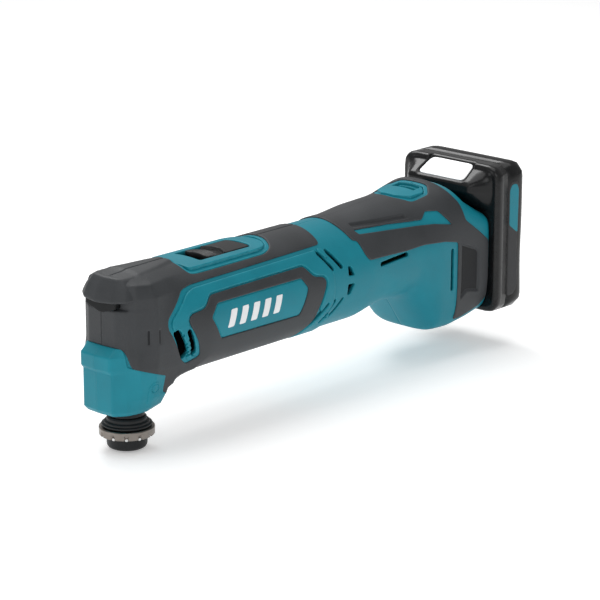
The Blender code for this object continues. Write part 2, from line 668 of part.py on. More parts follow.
def build_motor():
    centre = (0, 0, AXIS_Z)
    can = lathe("motor_can", (
        (6.8, MOTOR_FRONT), (MOTOR_R, MOTOR_FRONT), (MOTOR_R, MOTOR_REAR), (16.6, MOTOR_REAR),
        (16.6, 41.6), (6.8, 41.6),
    ), "X", centre, "dark_steel", 28)
    cut(can, box("can_vent", (44, 50), (-4, 4), (AXIS_Z - 30, AXIS_Z + 30)))
    lathe("motor_end_bell", (
        (4.0, 97.4), (MOTOR_R, 97.4), (MOTOR_R, 99.6), (9.0, 99.6), (9.0, 106.5), (6.7, 106.5),
        (6.7, 100.3), (4.0, 100.3),
    ), "X", centre, "black_plastic", 30)
    bracket = lathe("motor_bracket", ((9.4, 37.2), (22.4, 37.2), (22.4, 39.6), (9.4, 39.6)),
                    "X", centre, "cast_aluminium", 30)
    slots = [box(f"air_{i}", (30, 45), (side * 17 - 2.5, side * 17 + 2.5), (50, 66))
             for i, side in enumerate((-1, 1))]
    cut(bracket, *slots)
    bearing("motor_front_bearing", 6.5, 2.65, 39.9, 4.4, "X", centre)
    bearing("motor_rear_bearing", 6.5, 2.65, 100.7, 4.6, "X", centre)
    for number, side in enumerate((-1, 1), 1):
        magnet = lathe(f"motor_magnet_{number}", ((13.4, 50), (16.3, 50), (16.3, 86), (13.4, 86)),
                       "X", centre, "ferrite", 36)
        reach = sorted((side * 6.0, side * 20.0))
        keep(magnet, box(f"magnet_{number}", (45, 95), reach, (30, 90)))
        low, high = sorted((side * 5.8, side * 13.0))
        box(f"carbon_brush_{number}", (91, 95.5), (-2, 2), (AXIS_Z + low, AXIS_Z + high), "carbon")


def build_rotor():
    """Everything that turns with the motor's shaft, the eccentric pin at its front included."""
    centre = (0, 0, AXIS_Z)
    high = AXIS_Z + ECCENTRIC
    shaft = lathe("motor_shaft", (
        (0, 20.4), (4.0, 20.4), (4.0, 21.2), (2.5, 21.2), (2.5, 105.2), (0, 105.2),
    ), "X", centre, "bright_steel", 20)
    add(shaft, cylinder("crank_pin", 1.9, (13.2, 0, high), (20.8, 0, high), sides=16))
    bearing("eccentric_bearing", 6.0, 2.05, ECCENTRIC_X - 2, 4.0, "X", (0, 0, high))

    weight = lathe("counterweight", ((2.65, 21.6), (9.6, 21.6), (9.6, 26.4), (2.65, 26.4)),
                   "X", centre, "brass", 28)
    cut(weight, box("weight_flat", (15, 30), (-12, 12), (AXIS_Z + 4.6, AXIS_Z + 20)))

    fan = lathe("cooling_fan", (
        (2.65, 27.4), (6.0, 27.4), (6.0, 34.4), (20.6, 34.4), (20.6, 35.6), (2.65, 35.6),
    ), "X", centre, "black_plastic", 24)
    for i in range(9):
        angle = 2 * math.pi * i / 9
        blade = box(f"blade_{i}", (28.2, 34.8), (-0.5, 0.5), (-7.4, 7.4))
        blade.location.y = 12.7 * MM * math.sin(angle)
        blade.location.z = (AXIS_Z + 12.7 * math.cos(angle)) * MM
        blade.rotation_euler.x = -angle
        add(fan, blade)

    core = lathe("armature_core", ((2.65, 52), (12.6, 52), (12.6, 84), (2.65, 84)),
                 "X", centre, "copper", 30)
    for i in range(5):
        angle = 2 * math.pi * i / 5
        slot = box(f"armature_slot_{i}", (50, 86), (-0.9, 0.9), (-2.2, 2.2))
        slot.location.y = 11.4 * MM * math.sin(angle)
        slot.location.z = (AXIS_Z + 11.4 * math.cos(angle)) * MM
        slot.rotation_euler.x = -angle
        cut(core, slot)
    lathe("commutator", ((2.65, 87.0), (5.5, 87.0), (5.5, 96.4), (2.65, 96.4)),
          "X", centre, "copper", 20)


# ---------------------------------------------------------------- electrics


def build_electrics():
    board = box("controller_board", (150, 189), (-17, 17), (50, 51.6), "circuit_green")
    add(board, box("heat_sink", (156, 182), (-13, 13), (51, 60)))
    fins = [box(f"fin_gap_{i}", (154, 184), (y - 1, y + 1), (54, 70)) for i, y in
            enumerate((-9, -4.5, 0, 4.5, 9))]
    cut(board, *fins)

    block = box(
        "terminal_block", (226, 238.4), (-RAIL_NECK, RAIL_NECK), (RAIL_LOW, RAIL_TOP), "black_plastic"
    )
    add(block, box("rail_head", (238.0, 239.6), (-RAIL_HEAD, RAIL_HEAD), (RAIL_LOW, RAIL_TOP)))
    for name, y in (("terminal_plus", 7.0), ("terminal_minus", -7.0)):
        cut(block, box(name + "_slot", (220, 245), (y - 0.8, y + 0.8), (44, 61)))
        box(name, (222, 239.4), (y - 0.4, y + 0.4), (44.4, 60.6), "copper")

    tube("battery_lead_red", ((220.8, 7, 50), (212, 9, 46), (200, 9, 46), (190.4, 8, 50.9)), 0.9,
         "lead_red")
    tube("battery_lead_black", ((220.8, -7, 50), (212, -9, 46), (200, -9, 46), (190.4, -8, 50.9)), 0.9,
         "lead_black")
    tube("motor_lead_red", ((100.9, 0, 71.5), (109, 7, 69), (122, 10, 56), (148.8, 9, 50.9)), 0.9,
         "lead_red")
    tube("motor_lead_black", ((100.9, 0, 45), (109, -6, 46), (122, -10, 49), (148.8, -9, 50.9)), 0.9,
         "lead_black")


# ---------------------------------------------------------------- battery pack


def pack_plan():
    """The pack from above: square at the front, crowned and rounded at the rear."""
    side = [(200, PACK_HALF), (250, PACK_HALF)]
    for i in range(1, 5):
        angle = math.pi / 2 * i / 5
        side.append((250 + 7.4 * math.sin(angle), PACK_HALF - 6.5 * (1 - math.cos(angle))))
    side += [(260.0, 22.0), (260.7, 14.0), (PACK_REAR, 6.0)]
    return side + [(x, -y) for x, y in reversed(side)]


def button_axes():
    """The button's middle, and its slope's direction, all in the X-Z plane."""
    (x0, z0), (x1, z1) = BUTTON_FRONT, BUTTON_BACK
    return Vector(((x0 + x1) / 2, 0, (z0 + z1) / 2)), math.atan2(z1 - z0, x1 - x0)


def sloped_box(name, length, half_width, low, high, finish=None, bevel=0.0):
    """A box that lies on the pack's sloped face, low and high measured out from that face."""
    middle, slope = button_axes()
    normal = Vector((-math.sin(slope), 0, math.cos(slope)))
    made = box(
        name, (-length / 2, length / 2), (-half_width, half_width),
        (-(high - low) / 2, (high - low) / 2), finish, bevel,
    )
    made.rotation_euler = (0, -slope, 0)
    made.location = (middle + normal * (low + high) / 2) * MM
    return made


def build_battery():
    pack = prism("pack_whole", PACK_SIDE, -60, 60)
    keep(pack, prism("pack_plan", pack_plan(), -20, 140, axis="Z"))
    bake(pack)
    round_edges(pack, 1.6, segments=2, angle=40)
    bake(pack)
    cavity = box("pack_cavity", (241.1, 259.9), (-28.2, 28.2), (21.5, 92.5))
    neck = box("neck_channel", (230, 238.2), (-RAIL_NECK - 0.4, RAIL_NECK + 0.4), (0, RAIL_TOP + 0.5))
    head = box("head_channel", (237.6, 240.0), (-RAIL_HEAD - 0.4, RAIL_HEAD + 0.4), (0, RAIL_TOP + 0.5))
    pocket = sloped_box("button_pocket", 11.0, 12.6, -6.4, 4.0)

    corner = prism("pack_trim", pack_plan_cavity(), 10, 120, axis="Z")
    keep(cavity, corner)
    bake(cavity)
    for name, limits, finish in (
        ("battery_front_case", (200, PACK_SPLIT - GAP / 2), "black_plastic"),
        ("battery_rear_case", (PACK_SPLIT + GAP / 2, 300), "grey_plastic"),
    ):
        case = copy_of(pack, name, finish)
        keep(case, box(name + "_side", limits, (-60, 60), (0, 140)))
        cut(case, cavity)
        if limits[0] == 200:
            cut(case, neck, head, pocket)
        bake(case)

    for number, y in enumerate((-CELL_PITCH, 0, CELL_PITCH), 1):
        cylinder(f"battery_cell_{number}", CELL_R, (CELL_X, y, 23.5), (CELL_X, y, 23.5 + CELL_LONG),
                 "cell_wrap", sides=24)
    sloped_box("release_button", 10.2, 12.0, -3.2, -0.2, "black_plastic", bevel=0.5)

    middle, slope = button_axes()
    along = Vector((math.cos(slope), 0, math.sin(slope)))
    normal = Vector((-math.sin(slope), 0, math.cos(slope)))
    bow = ((-4.6, -5.95), (-4.0, -5.95), (0, -4.2), (4.0, -5.95), (4.6, -5.95))
    bow += tuple((s, rise + 0.45) for s, rise in reversed(bow))
    leaf = [middle + along * s + normal * rise for s, rise in bow]
    prism("release_spring", [(point.x, point.z) for point in leaf], -2.2, 2.2, finish="bright_steel")


def pack_plan_cavity():
    """The inside of the pack from above, so the rear corners keep their wall."""
    side = [(200, 29.0), (250, 29.0), (254.5, 28.0), (257.2, 26.0), (258.2, 24.0), (259.2, 22.0)]
    side += [(259.8, 18.6), (259.9, 10.0)]
    return side + [(x, -y) for x, y in reversed(side)]


# ---------------------------------------------------------------- the whole tool

clear_scene()
parts = new_collection("oscillating_multi_tool")
cutters = new_collection("cutters")
materials = make_materials()
# The housing's skins meet almost tangentially, where EXACT leaves open edges.
solver = "MANIFOLD"
build_housing()
solver = "EXACT"
build_screws()
build_switch()
build_dial()
build_light()
build_spindle()
build_flange()
build_clamp()
build_motor()
build_rotor()
build_electrics()
build_battery()
for cutter in cutters.objects:
    cutter.hide_set(True)
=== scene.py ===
"""Cordless oscillating multi-tool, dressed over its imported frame. Sizes are in millimetres until a mesh
is made.
"""

import json
import math

import bpy
import numpy as np
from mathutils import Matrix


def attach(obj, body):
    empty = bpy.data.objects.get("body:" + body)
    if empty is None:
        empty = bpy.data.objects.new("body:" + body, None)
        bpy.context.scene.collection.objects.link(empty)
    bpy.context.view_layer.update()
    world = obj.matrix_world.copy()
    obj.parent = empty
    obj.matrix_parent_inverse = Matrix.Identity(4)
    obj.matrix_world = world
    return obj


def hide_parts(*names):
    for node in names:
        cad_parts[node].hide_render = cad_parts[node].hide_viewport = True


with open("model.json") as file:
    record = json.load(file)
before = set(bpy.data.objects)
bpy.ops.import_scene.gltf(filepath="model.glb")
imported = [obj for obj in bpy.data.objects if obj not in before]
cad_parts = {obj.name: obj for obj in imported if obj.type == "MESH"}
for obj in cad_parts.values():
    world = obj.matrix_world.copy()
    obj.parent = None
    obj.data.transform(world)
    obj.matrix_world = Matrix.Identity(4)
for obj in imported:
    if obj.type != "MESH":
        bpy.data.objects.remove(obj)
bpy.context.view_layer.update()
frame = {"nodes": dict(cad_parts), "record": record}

# --- Studio ------------------------------------------------------------------------------------
# A pale seamless floor under the tool, a large soft lamp over the front left, a second lamp low
# behind the nose and a panel over the pack that lights its release pad.
scene = bpy.context.scene
scene.view_settings.view_transform = "Standard"
scene.view_settings.look = "None"

lens = bpy.data.cameras.new("studio_camera")
lens.lens, lens.sensor_width = 168.0, 36.0
lens.clip_start, lens.clip_end = 0.05, 20.0
camera = bpy.data.objects.new("studio_camera", lens)
scene.collection.objects.link(camera)
turn, rise, reach = math.radians(-47.5), math.radians(16.2), 1.39416
aim = np.array([0.1207, 0.0, 0.0458])
back = np.array([math.sin(turn) * math.cos(rise), -math.cos(turn) * math.cos(rise), math.sin(rise)])
camera.location = aim + back * reach
camera.rotation_euler = (math.pi / 2 - rise, 0.0, turn)
scene.camera = camera


def studio_lamp(name, place, target, size, power, tint=(1.0, 1.0, 1.0)):
    """A soft rectangular lamp at a place, turned to face a target, both in metres."""
    data = bpy.data.lights.new(name, "AREA")
    data.shape, data.size, data.size_y = "RECTANGLE", size[0], size[1]
    data.energy, data.color = power, tint
    lamp = bpy.data.objects.new(name, data)
    scene.collection.objects.link(lamp)
    lamp.location = place
    away = np.array(place, float) - np.array(target, float)
    lamp.rotation_euler = (math.atan2(math.hypot(away[0], away[1]), away[2]), 0.0,
                           math.atan2(away[1], away[0]) + math.pi / 2)
    return lamp


studio_lamp("overhead_panel", (0.1, 0.1, 1.3), (0.12, 0.0, 0.05), (1.4, 1.0), 9.0)
studio_lamp("front_panel", (-0.9, -1.0, 0.75), (0.1, 0.0, 0.05), (0.9, 0.7), 4.2)
studio_lamp("pack_panel", (0.36, 0.66, 0.86), (0.234, 0.0, 0.094), (0.5, 0.34),
            4.0).data.specular_factor = 0.05
studio_lamp("nose_panel", (-1.3, 0.5, 0.5), (0.0, 0.0, 0.05), (0.7, 0.7), 2.2)

world = bpy.data.worlds.new("studio_world")
world.use_nodes = True
sky = world.node_tree
seen = sky.nodes.new("ShaderNodeLightPath")
level = sky.nodes.new("ShaderNodeMapRange")
level.inputs["To Min"].default_value, level.inputs["To Max"].default_value = 0.36, 1.0
sky.links.new(seen.outputs["Is Camera Ray"], level.inputs["Value"])
sky.links.new(level.outputs["Result"], sky.nodes["Background"].inputs[1])
sky.nodes["Background"].inputs[0].default_value = (1.0, 1.0, 1.0, 1.0)
scene.world = world

floor_mesh = bpy.data.meshes.new("studio_floor")
floor_mesh.from_pydata([(-6, -6, -0.001), (6, -6, -0.001), (6, 6, -0.001), (-6, 6, -0.001)], [],
                       [(0, 1, 2, 3)])
floor = bpy.data.objects.new("studio_floor", floor_mesh)
scene.collection.objects.link(floor)
floor_paint = bpy.data.materials.new("pale_floor")
floor_paint.use_nodes = True
floor_paint.node_tree.nodes["Principled BSDF"].inputs["Base Color"].default_value = (0.95, 0.95, 0.95, 1)
floor_paint.node_tree.nodes["Principled BSDF"].inputs["Emission Color"].default_value = (1, 1, 1, 1)
floor_paint.node_tree.nodes["Principled BSDF"].inputs["Emission Strength"].default_value = 0.32
floor_paint.node_tree.nodes["Principled BSDF"].inputs["Roughness"].default_value = 0.9
floor_mesh.materials.append(floor_paint)

# --- Teal nylon housing ------------------------------------------------------------------------
# Two glass-filled nylon half shells, screwed together from the right on a seam down the middle.
# Fine spark texture from the mould, vent slots cut through to the motor, softly rounded lips.
AXIS, HEAD_TOP, COLUMN_LOW, HUB = 58.2, 85.6, 20.3, 8.0
BODY = np.array([
    # x, lowest, highest, half width, squareness below and above the axis
    (2.0, 46.0, 84.7, 20.4, 2.2, 2.4), (19.0, 35.5, 85.7, 25.6, 2.1, 2.2),
    (31.0, 30.7, 85.7, 27.5, 2.0, 2.0), (90.0, 30.7, 85.7, 27.5, 2.0, 2.0),
    (146.0, 30.7, 85.7, 27.5, 2.0, 2.0), (154.0, 33.2, 86.4, 26.9, 2.1, 2.1),
    (162.0, 35.5, 87.3, 26.6, 2.2, 2.15), (184.0, 35.2, 88.0, 26.8, 2.3, 2.2),
    (192.0, 24.0, 88.6, 27.4, 3.0, 2.3), (199.0, 13.8, 90.0, 28.0, 4.0, 2.4),
    (211.0, 14.2, 92.2, 28.0, 5.0, 2.6), (219.5, 15.4, 89.6, 28.0, 5.0, 2.8),
    (224.5, 16.0, 83.0, 28.0, 5.0, 3.2), (235.8, 18.5, 74.2, 28.0, 5.0, 5.0),
])
COLUMN_FRONT = ((-18.8, 0), (-18.2, 9.4), (-12.8, 13.4))
CHIN_FRONT = ((-20.3, 0), (-19.6, 9.4), (-13.0, 13.5))
FACE_FRONT = ((-15.2, 0), (-14.8, 8.8), (-11.8, 14.0), (-10.8, 14.5))
HEAD_REAR = ((30, 19.0), (33, 9.0), (34, 0))
HEAD = (
    # z, then (x, y) from the front centre round one side to the back centre
    (20.3, (-17, 0), (-16.4, 8.4), (-11.6, 12.2), (-6, 13.6), (0, 13.8), (8.6, 10.8), (13.2, 4.5), (13.8, 0)),
    (22.6, *COLUMN_FRONT, (-6, 14.8), (0, 15.6), (9.4, 13.8), (14.2, 5.8), (15, 0)),
    (28.0, *COLUMN_FRONT, (-6, 16.6), (0, 17.8), (9.6, 17.4), (17.5, 7.0), (18.5, 0)),
    (31.5, *COLUMN_FRONT, (-6, 17.0), (0, 18.6), (14.0, 17.4), (24.0, 8.0), (25, 0)),
    (35.5, *COLUMN_FRONT, (-7, 17.6), (0, 19.6), (28.0, 17.2), (31.0, 8.0), (32, 0)),
    (41.2, *COLUMN_FRONT, (-8, 18.4), (0, 21.2), *HEAD_REAR),
    (43.0, *CHIN_FRONT, (-9, 18.2), (0, 21.6), *HEAD_REAR),
    (49.2, *CHIN_FRONT, (-9, 17.6), (0, 22.0), *HEAD_REAR),
    (53.0, *FACE_FRONT, (-9, 17.0), (0, 22.0), *HEAD_REAR),
    (71.0, *FACE_FRONT, (-9, 17.0), (0, 21.6), (30, 16), (32, 8), (33, 0)),
    (71.6, (-12.4, 0), (-12.2, 8.8), (-10.8, 14.0), (-9, 16.8), (0, 21.6), (30, 16), (32, 8), (33, 0)),
    (77.2, (-12.4, 0), (-12.2, 8.8), (-10.8, 14.0), (-9, 16.6), (0, 21.4), (30, 15), (32, 8), (33, 0)),
    (82.6, (-12.0, 0), (-11.8, 8.8), (-10.4, 12.8), (-8, 15.2), (0, 17.8), (30, 9), (32, 5), (33, 0)),
    (85.6, (-11.4, 0), (-11.2, 7.4), (-9.4, 9.4), (-5, 10.2), (0, 10.4), (30, 3), (32, 1.5), (33, 0)),
)


def soft_line(values, width):
    """Values with their corners softened: each is the bell-weighted mean of its neighbours within a few
    widths.
    """
    reach = int(3 * width) + 1
    bell = np.exp(-0.5 * (np.arange(-reach, reach + 1) / width) ** 2)
    ends = np.concatenate([np.full(reach, values[0]), values, np.full(reach, values[-1])])
    return np.convolve(ends, bell / bell.sum(), "valid")


station = np.arange(-20.0, 242.0, 0.25)
profile = [soft_line(np.interp(station, BODY[:, 0], BODY[:, k]), 7.0) for k in range(1, 6)]
around = np.linspace(0, math.pi, 361)
head_reach = []
for row in HEAD:
    ring = np.array(row[1:], float)
    part = np.linspace(0, len(ring) - 1, 600)
    rx, ry = np.interp(part, range(len(ring)), ring[:, 0]), np.interp(part, range(len(ring)), ring[:, 1])
    head_reach.append(soft_line(np.interp(around, np.arctan2(ry, HUB - rx), np.hypot(rx - HUB, ry)), 1.8))
head_level, head_reach = np.array([row[0] for row in HEAD]), np.array(head_reach)


def body_field(p):
    """How far a point stands outside the housing: the smooth lesser of a superellipse barrel and a
    faceted head.
    """
    x, y, z = p[..., 0], np.abs(p[..., 1]), p[..., 2]
    low, high, half, n_low, n_high = (np.interp(x, station, column) for column in profile)
    tall, n = np.where(z > AXIS, high - AXIS, AXIS - low), np.where(z > AXIS, n_high, n_low)
    barrel = (((y / half) ** n + (np.abs(z - AXIS) / tall) ** n) ** (1 / n) - 1) * half
    barrel = np.maximum(barrel, 2.0 - x)
    row = np.clip(np.interp(z, head_level, range(len(HEAD))), 0, len(HEAD) - 1.001)
    col = np.arctan2(y, HUB - x) / math.pi * 360
    i, j = row.astype(int), np.minimum(col.astype(int), 359)
    s, t = row - i, col - j
    edge = (head_reach[i, j] * (1 - t) + head_reach[i, j + 1] * t) * (1 - s) + (
        head_reach[i + 1, j] * (1 - t) + head_reach[i + 1, j + 1] * t) * s
    head = np.hypot(x - HUB, y) - edge
    cap = np.maximum(z - HEAD_TOP, COLUMN_LOW - z)
    head = 0.5 * (head + cap + np.sqrt((head - cap) ** 2 + 2.0))
    return 0.5 * (barrel + head - np.sqrt((barrel - head) ** 2 + 6.0))


# The skin of the housing as a table: rays leave the axis square to it behind the nose and fan
# out round it over the nose, and each is halved down to where the field is nought.
FAN = 30.0
skin_u = np.arange(HUB - FAN * math.pi / 2, 235.9, 0.5)
skin_v = np.radians(np.linspace(0, 180, 241))
uu, vv = np.meshgrid(skin_u, skin_v, indexing="ij")
tilt = np.maximum(0, HUB - uu) / FAN
start = np.stack([np.maximum(uu, HUB), 0 * uu, 0 * uu + AXIS], -1)
heading = np.stack([-np.sin(tilt), -np.cos(tilt) * np.sin(vv), np.cos(tilt) * np.cos(vv)], -1)
near, far = np.zeros(uu.shape), np.full(uu.shape, 62.0)
for _ in range(22):
    middle = 0.5 * (near + far)
    outside = body_field(start + heading * middle[..., None]) > 0
    near, far = np.where(outside, near, middle), np.where(outside, middle, far)
skin = start + heading * near[..., None]
skin[:, 0, 1] = skin[:, -1, 1] = 0.0
slope_u, slope_v = np.gradient(skin, axis=0), np.gradient(skin, axis=1)
slope_v[:, 0], slope_v[:, -1] = slope_v[:, 1] * (0, 1, 0), slope_v[:, -2] * (0, 1, 0)
skin_out = np.cross(slope_u, slope_v)
skin_out[:, (0, -1), 1] = 0.0
skin_out *= np.sign((skin_out * heading).sum(-1, keepdims=True) + 1e-9)
skin_out /= np.linalg.norm(skin_out, axis=-1, keepdims=True) + 1e-12
skin_out[0] = (-1.0, 0.0, 0.0)


def sample(table, q):
    """Values of a table between its nodes, mixed in straight lines along both of its directions."""
    i = np.clip(q[:, 0].astype(int), 0, table.shape[0] - 2)
    j = np.clip(q[:, 1].astype(int), 0, table.shape[1] - 2)
    s, t = q[:, 0] - i, q[:, 1] - j
    if table.ndim == 3:
        s, t = s[:, None], t[:, None]
    return (table[i, j] * (1 - t) + table[i, j + 1] * t) * (1 - s) + (
        table[i + 1, j] * (1 - t) + table[i + 1, j + 1] * t) * s


def rounded(corners, radius=2.0):
    """An outline whose corners are eased: each becomes a short parabola between points on its two sides."""
    ring = np.array(corners, float)
    back, ahead = np.roll(ring, 1, 0) - ring, np.roll(ring, -1, 0) - ring
    a, b = np.linalg.norm(back, axis=1, keepdims=True), np.linalg.norm(ahead, axis=1, keepdims=True)
    first = ring + back / a * np.minimum(radius, 0.45 * a)
    last = ring + ahead / b * np.minimum(radius, 0.45 * b)
    t = np.linspace(0, 1, 5)[None, :, None]
    return ((1 - t) ** 2 * first[:, None] + 2 * t * (1 - t) * ring[:, None] + t ** 2 * last[:,
        None]).reshape(-1, 2)


def slot_outline(a, b, width):
    """A slot with round ends: two half circles of its width, at its two ends."""
    a, b = np.array(a, float), np.array(b, float)
    run = math.atan2(b[1] - a[1], b[0] - a[0])
    t = np.linspace(math.pi / 2, 1.5 * math.pi, 7)
    ends = [c + width / 2 * np.stack([np.cos(t + run + o), np.sin(t + run + o)], -1) for c,
            o in ((a, 0), (b, math.pi))]
    return np.concatenate(ends)


def inside_by(points, ring):
    """How deep each point lies inside an outline: the least distance to a side, below nought outside."""
    a, b = ring, np.roll(ring, -1, 0)
    run = b - a
    away = points[:, None] - a
    t = np.clip((away * run).sum(-1) / ((run * run).sum(-1) + 1e-12), 0, 1)
    gap = np.linalg.norm(away - t[..., None] * run, axis=-1).min(1)
    over = (a[:, 1] > points[:, None, 1]) != (b[:, 1] > points[:, None, 1])
    run_y = np.where(np.abs(run[:, 1]) < 1e-9, 1e-9, run[:, 1])
    hits = over & (points[:, None, 0] < a[:, 0] + (points[:, None, 1] - a[:, 1]) / run_y * run[:, 0])
    return np.where(hits.sum(1) % 2 == 1, gap, -gap)


def side_view(p, include, leave_out=()):
    """Depth inside any of the outlines to include and outside all those to leave out, seen from the side."""
    flat = p[:, (0, 2)]
    depth = np.max([inside_by(flat, ring) for ring in include], axis=0) if len(include) else np.full(len(p),
        99.0)
    for ring in leave_out:
        depth = np.minimum(depth, -inside_by(flat, ring))
    return depth


def clear_of(p, ring, spare=0.0):
    """How far each point near the top lies outside an outline seen from above, made larger by spare."""
    return np.where(p[:, 2] > 70, -inside_by(p[:, :2], ring) - spare, 99.0)


def smooth_step(value, low, high):
    """Nought below low, one above high, with an S between."""
    t = np.clip((value - low) / (high - low), 0, 1)
    return t * t * (3 - 2 * t)


def finish_mesh(name, points, faces, body, node, slot, paint, edge=None, smooth=True):
    """Makes the piece from millimetre points, names its body and the CAD nodes it stands for; its slot is not
    used.
    """
    mesh = bpy.data.meshes.new(name)
    mesh.from_pydata(np.asarray(points) * 0.001, [],
                     np.asarray(faces).tolist() if isinstance(faces, np.ndarray) else faces)
    mesh.update()
    mesh.polygons.foreach_set("use_smooth", np.full(len(mesh.polygons), smooth))
    if edge is not None:
        mesh.attributes.new("edge", "FLOAT", "POINT").data.foreach_set("value", np.asarray(edge, np.float32))
    mesh.materials.append(paint)
    piece = bpy.data.objects.new(name, mesh)
    scene.collection.objects.link(piece)
    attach(piece, body)
    if node:
        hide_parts(*([node] if isinstance(node, str) else node))
    return piece


def panel(table, out, depth_of, lift, lip, deep, rows=(0, None), step=(2, 2), rings=4, wall=None):
    """A panel cut from a surface table where depth_of is above nought, with a round lip and a closed back.

    Nodes next to the line are moved onto it, the lip is a quarter circle of radius lip outside the
    flat, and the wall goes in by deep. Returns its points, its triangles and how near the lip each point is.
    """
    lo, hi = rows[0], rows[1] or table.shape[0]
    t, o = table[lo:hi], out[lo:hi]
    d = depth_of(t.reshape(-1, 3)).reshape(t.shape[:2])
    tu, tv = np.gradient(t, axis=0), np.gradient(t, axis=1)
    du, dv = np.gradient(d, axis=0), np.gradient(d, axis=1)
    e, f, g = (tu * tu).sum(-1) + 1e-9, (tu * tv).sum(-1), (tv * tv).sum(-1) + 1e-9
    det = np.maximum(e * g - f * f, 1e-9)
    a, b = (g * du - f * dv) / det, (e * dv - f * du) / det
    steep = np.sqrt(np.maximum(a * du + b * dv, 0.09))
    d, a, b = d / steep, a / steep, b / steep
    gi, gj = np.arange(0, t.shape[0] - 1e-9, step[0]), np.arange(0, t.shape[1] - 1e-9, step[1])
    gi[-1], gj[-1] = t.shape[0] - 1, t.shape[1] - 1
    q = np.stack(np.meshgrid(gi, gj, indexing="ij"), -1).reshape(-1, 2).astype(float)
    nu, nv = len(gi), len(gj)
    cell = np.sqrt(np.maximum(sample(e, q) * step[0] ** 2, sample(g, q) * step[1] ** 2))
    depth = sample(d, q) - lip
    snapped = np.abs(depth) < 0.56 * cell
    for _ in range(3):
        move = np.stack([sample(a, q), sample(b, q)], -1) * (sample(d, q) - lip)[:, None]
        q = np.where(snapped[:, None], np.clip(q - move, (0, 0), (t.shape[0] - 1, t.shape[1] - 1)), q)
    grid_border = np.zeros((nu, nv), bool)
    grid_border[0] = grid_border[-1] = grid_border[:, 0] = grid_border[:, -1] = True
    depth = np.where(snapped, 0.0, depth)
    n = np.arange(nu * nv).reshape(nu, nv)
    c00, c10, c11, c01 = (m.ravel() for m in (n[:-1, :-1], n[1:, :-1], n[1:, 1:], n[:-1, 1:]))
    other = np.abs(depth[c00]) + np.abs(depth[c11]) > np.abs(depth[c10]) + np.abs(depth[c01])
    first = np.where(other[:, None], np.stack([c00, c10, c01], 1), np.stack([c00, c10, c11], 1))
    second = np.where(other[:, None], np.stack([c10, c11, c01], 1), np.stack([c00, c11, c01], 1))
    tri = np.concatenate([first, second])
    lowest, highest = depth[tri].min(1), depth[tri].max(1)
    centre = sample(d, q[tri].mean(1)) - lip
    tri = tri[(lowest >= 0) & ((highest > 0) | (centre > 0.12 * cell[tri].max(1)))]
    place, face_out = sample(t, q), sample(o, q)
    normal = np.cross(place[tri[:, 1]] - place[tri[:, 0]], place[tri[:, 2]] - place[tri[:, 0]])
    area = np.linalg.norm(normal, axis=1)
    tri, normal = tri[area > 1e-7], normal[area > 1e-7]
    flip = (normal * face_out[tri[:, 0]]).sum(1) < 0
    tri = np.where(flip[:, None], tri[:, ::-1], tri)
    used, tri = np.unique(tri, return_inverse=True)
    tri = tri.reshape(-1, 3)
    q, snapped = q[used], snapped[used]
    total = len(used)
    ends = np.concatenate([tri[:, (0, 1)], tri[:, (1, 2)], tri[:, (2, 0)]])
    code, reverse = ends[:, 0] * total + ends[:, 1], ends[:, 1] * total + ends[:, 0]
    rim = ends[~np.isin(code, reverse)]
    place = sample(t, q)
    rim = rim[np.linalg.norm(place[rim[:, 0]] - place[rim[:, 1]], axis=1) > 1e-6]
    on_rim = np.unique(rim)
    where = np.full(total, -1)
    where[on_rim] = np.arange(len(on_rim))
    rq, moved = q[on_rim], snapped[on_rim]
    way = np.stack([sample(a, rq), sample(b, rq)], -1)
    place, face_out = sample(t, q), sample(o, q)
    lifts = lift(place) if callable(lift) else np.full(total, float(lift))
    points, marks, faces = [place + face_out * lifts[:, None]], [np.zeros(total)], [tri]
    index = on_rim.copy()
    for k in range(1, rings + 2):
        bend = min(k, rings) / rings * math.pi / 2
        slide = lip * math.sin(bend)
        step_q = rq - np.where(moved[:, None], way * slide, 0)
        step_q = np.clip(step_q, (0, 0), (t.shape[0] - 1, t.shape[1] - 1))
        down = lifts[on_rim] - lip * (1 - math.cos(bend)) if k <= rings else np.full(len(rq), -float(deep))
        points.append(sample(t, step_q) + sample(o, step_q) * down[:, None])
        if wall and k > rings:
            points[-1] = wall(sample(t, step_q))
        marks.append(np.full(len(rq), 1.0))
        fresh = total + (k - 1) * len(on_rim) + np.arange(len(on_rim))
        p0, p1 = index[where[rim[:, 0]]], index[where[rim[:, 1]]]
        f0, f1 = fresh[where[rim[:, 0]]], fresh[where[rim[:, 1]]]
        faces += [np.stack([p0, f0, f1], 1), np.stack([p0, f1, p1], 1)]
        index = fresh
    offset = total + (rings + 1) * len(on_rim)
    points.append(wall(place) if wall else place - face_out * deep)
    marks.append(np.zeros(total))
    under = np.arange(total) + offset
    under[on_rim] = index
    faces.append(under[tri][:, ::-1])
    points, faces, marks = np.concatenate(points), np.concatenate(faces), np.concatenate(marks)
    _, first, same = np.unique(np.round(points, 5), axis=0, return_index=True, return_inverse=True)
    points, marks, faces = points[first], marks[first], same.reshape(-1)[faces]
    faces = faces[(faces[:, 0] != faces[:, 1]) & (faces[:, 1] != faces[:, 2]) & (faces[:, 0] != faces[:, 2])]
    used, faces = np.unique(faces, return_inverse=True)
    return points[used], faces.reshape(-1, 3), marks[used]


def mirrored(shape):
    """The same panel on the other side of the middle: y turned over and every triangle turned round."""
    points, faces, marks = shape
    return points * (1, -1, 1), faces[:, ::-1], marks


def joined(*shapes):
    """Several panels as one mesh."""
    points, faces, marks, total = [], [], [], 0
    for p, f, m in shapes:
        points.append(p), faces.append(f + total), marks.append(m)
        total += len(p)
    return np.concatenate(points), np.concatenate(faces), np.concatenate(marks)


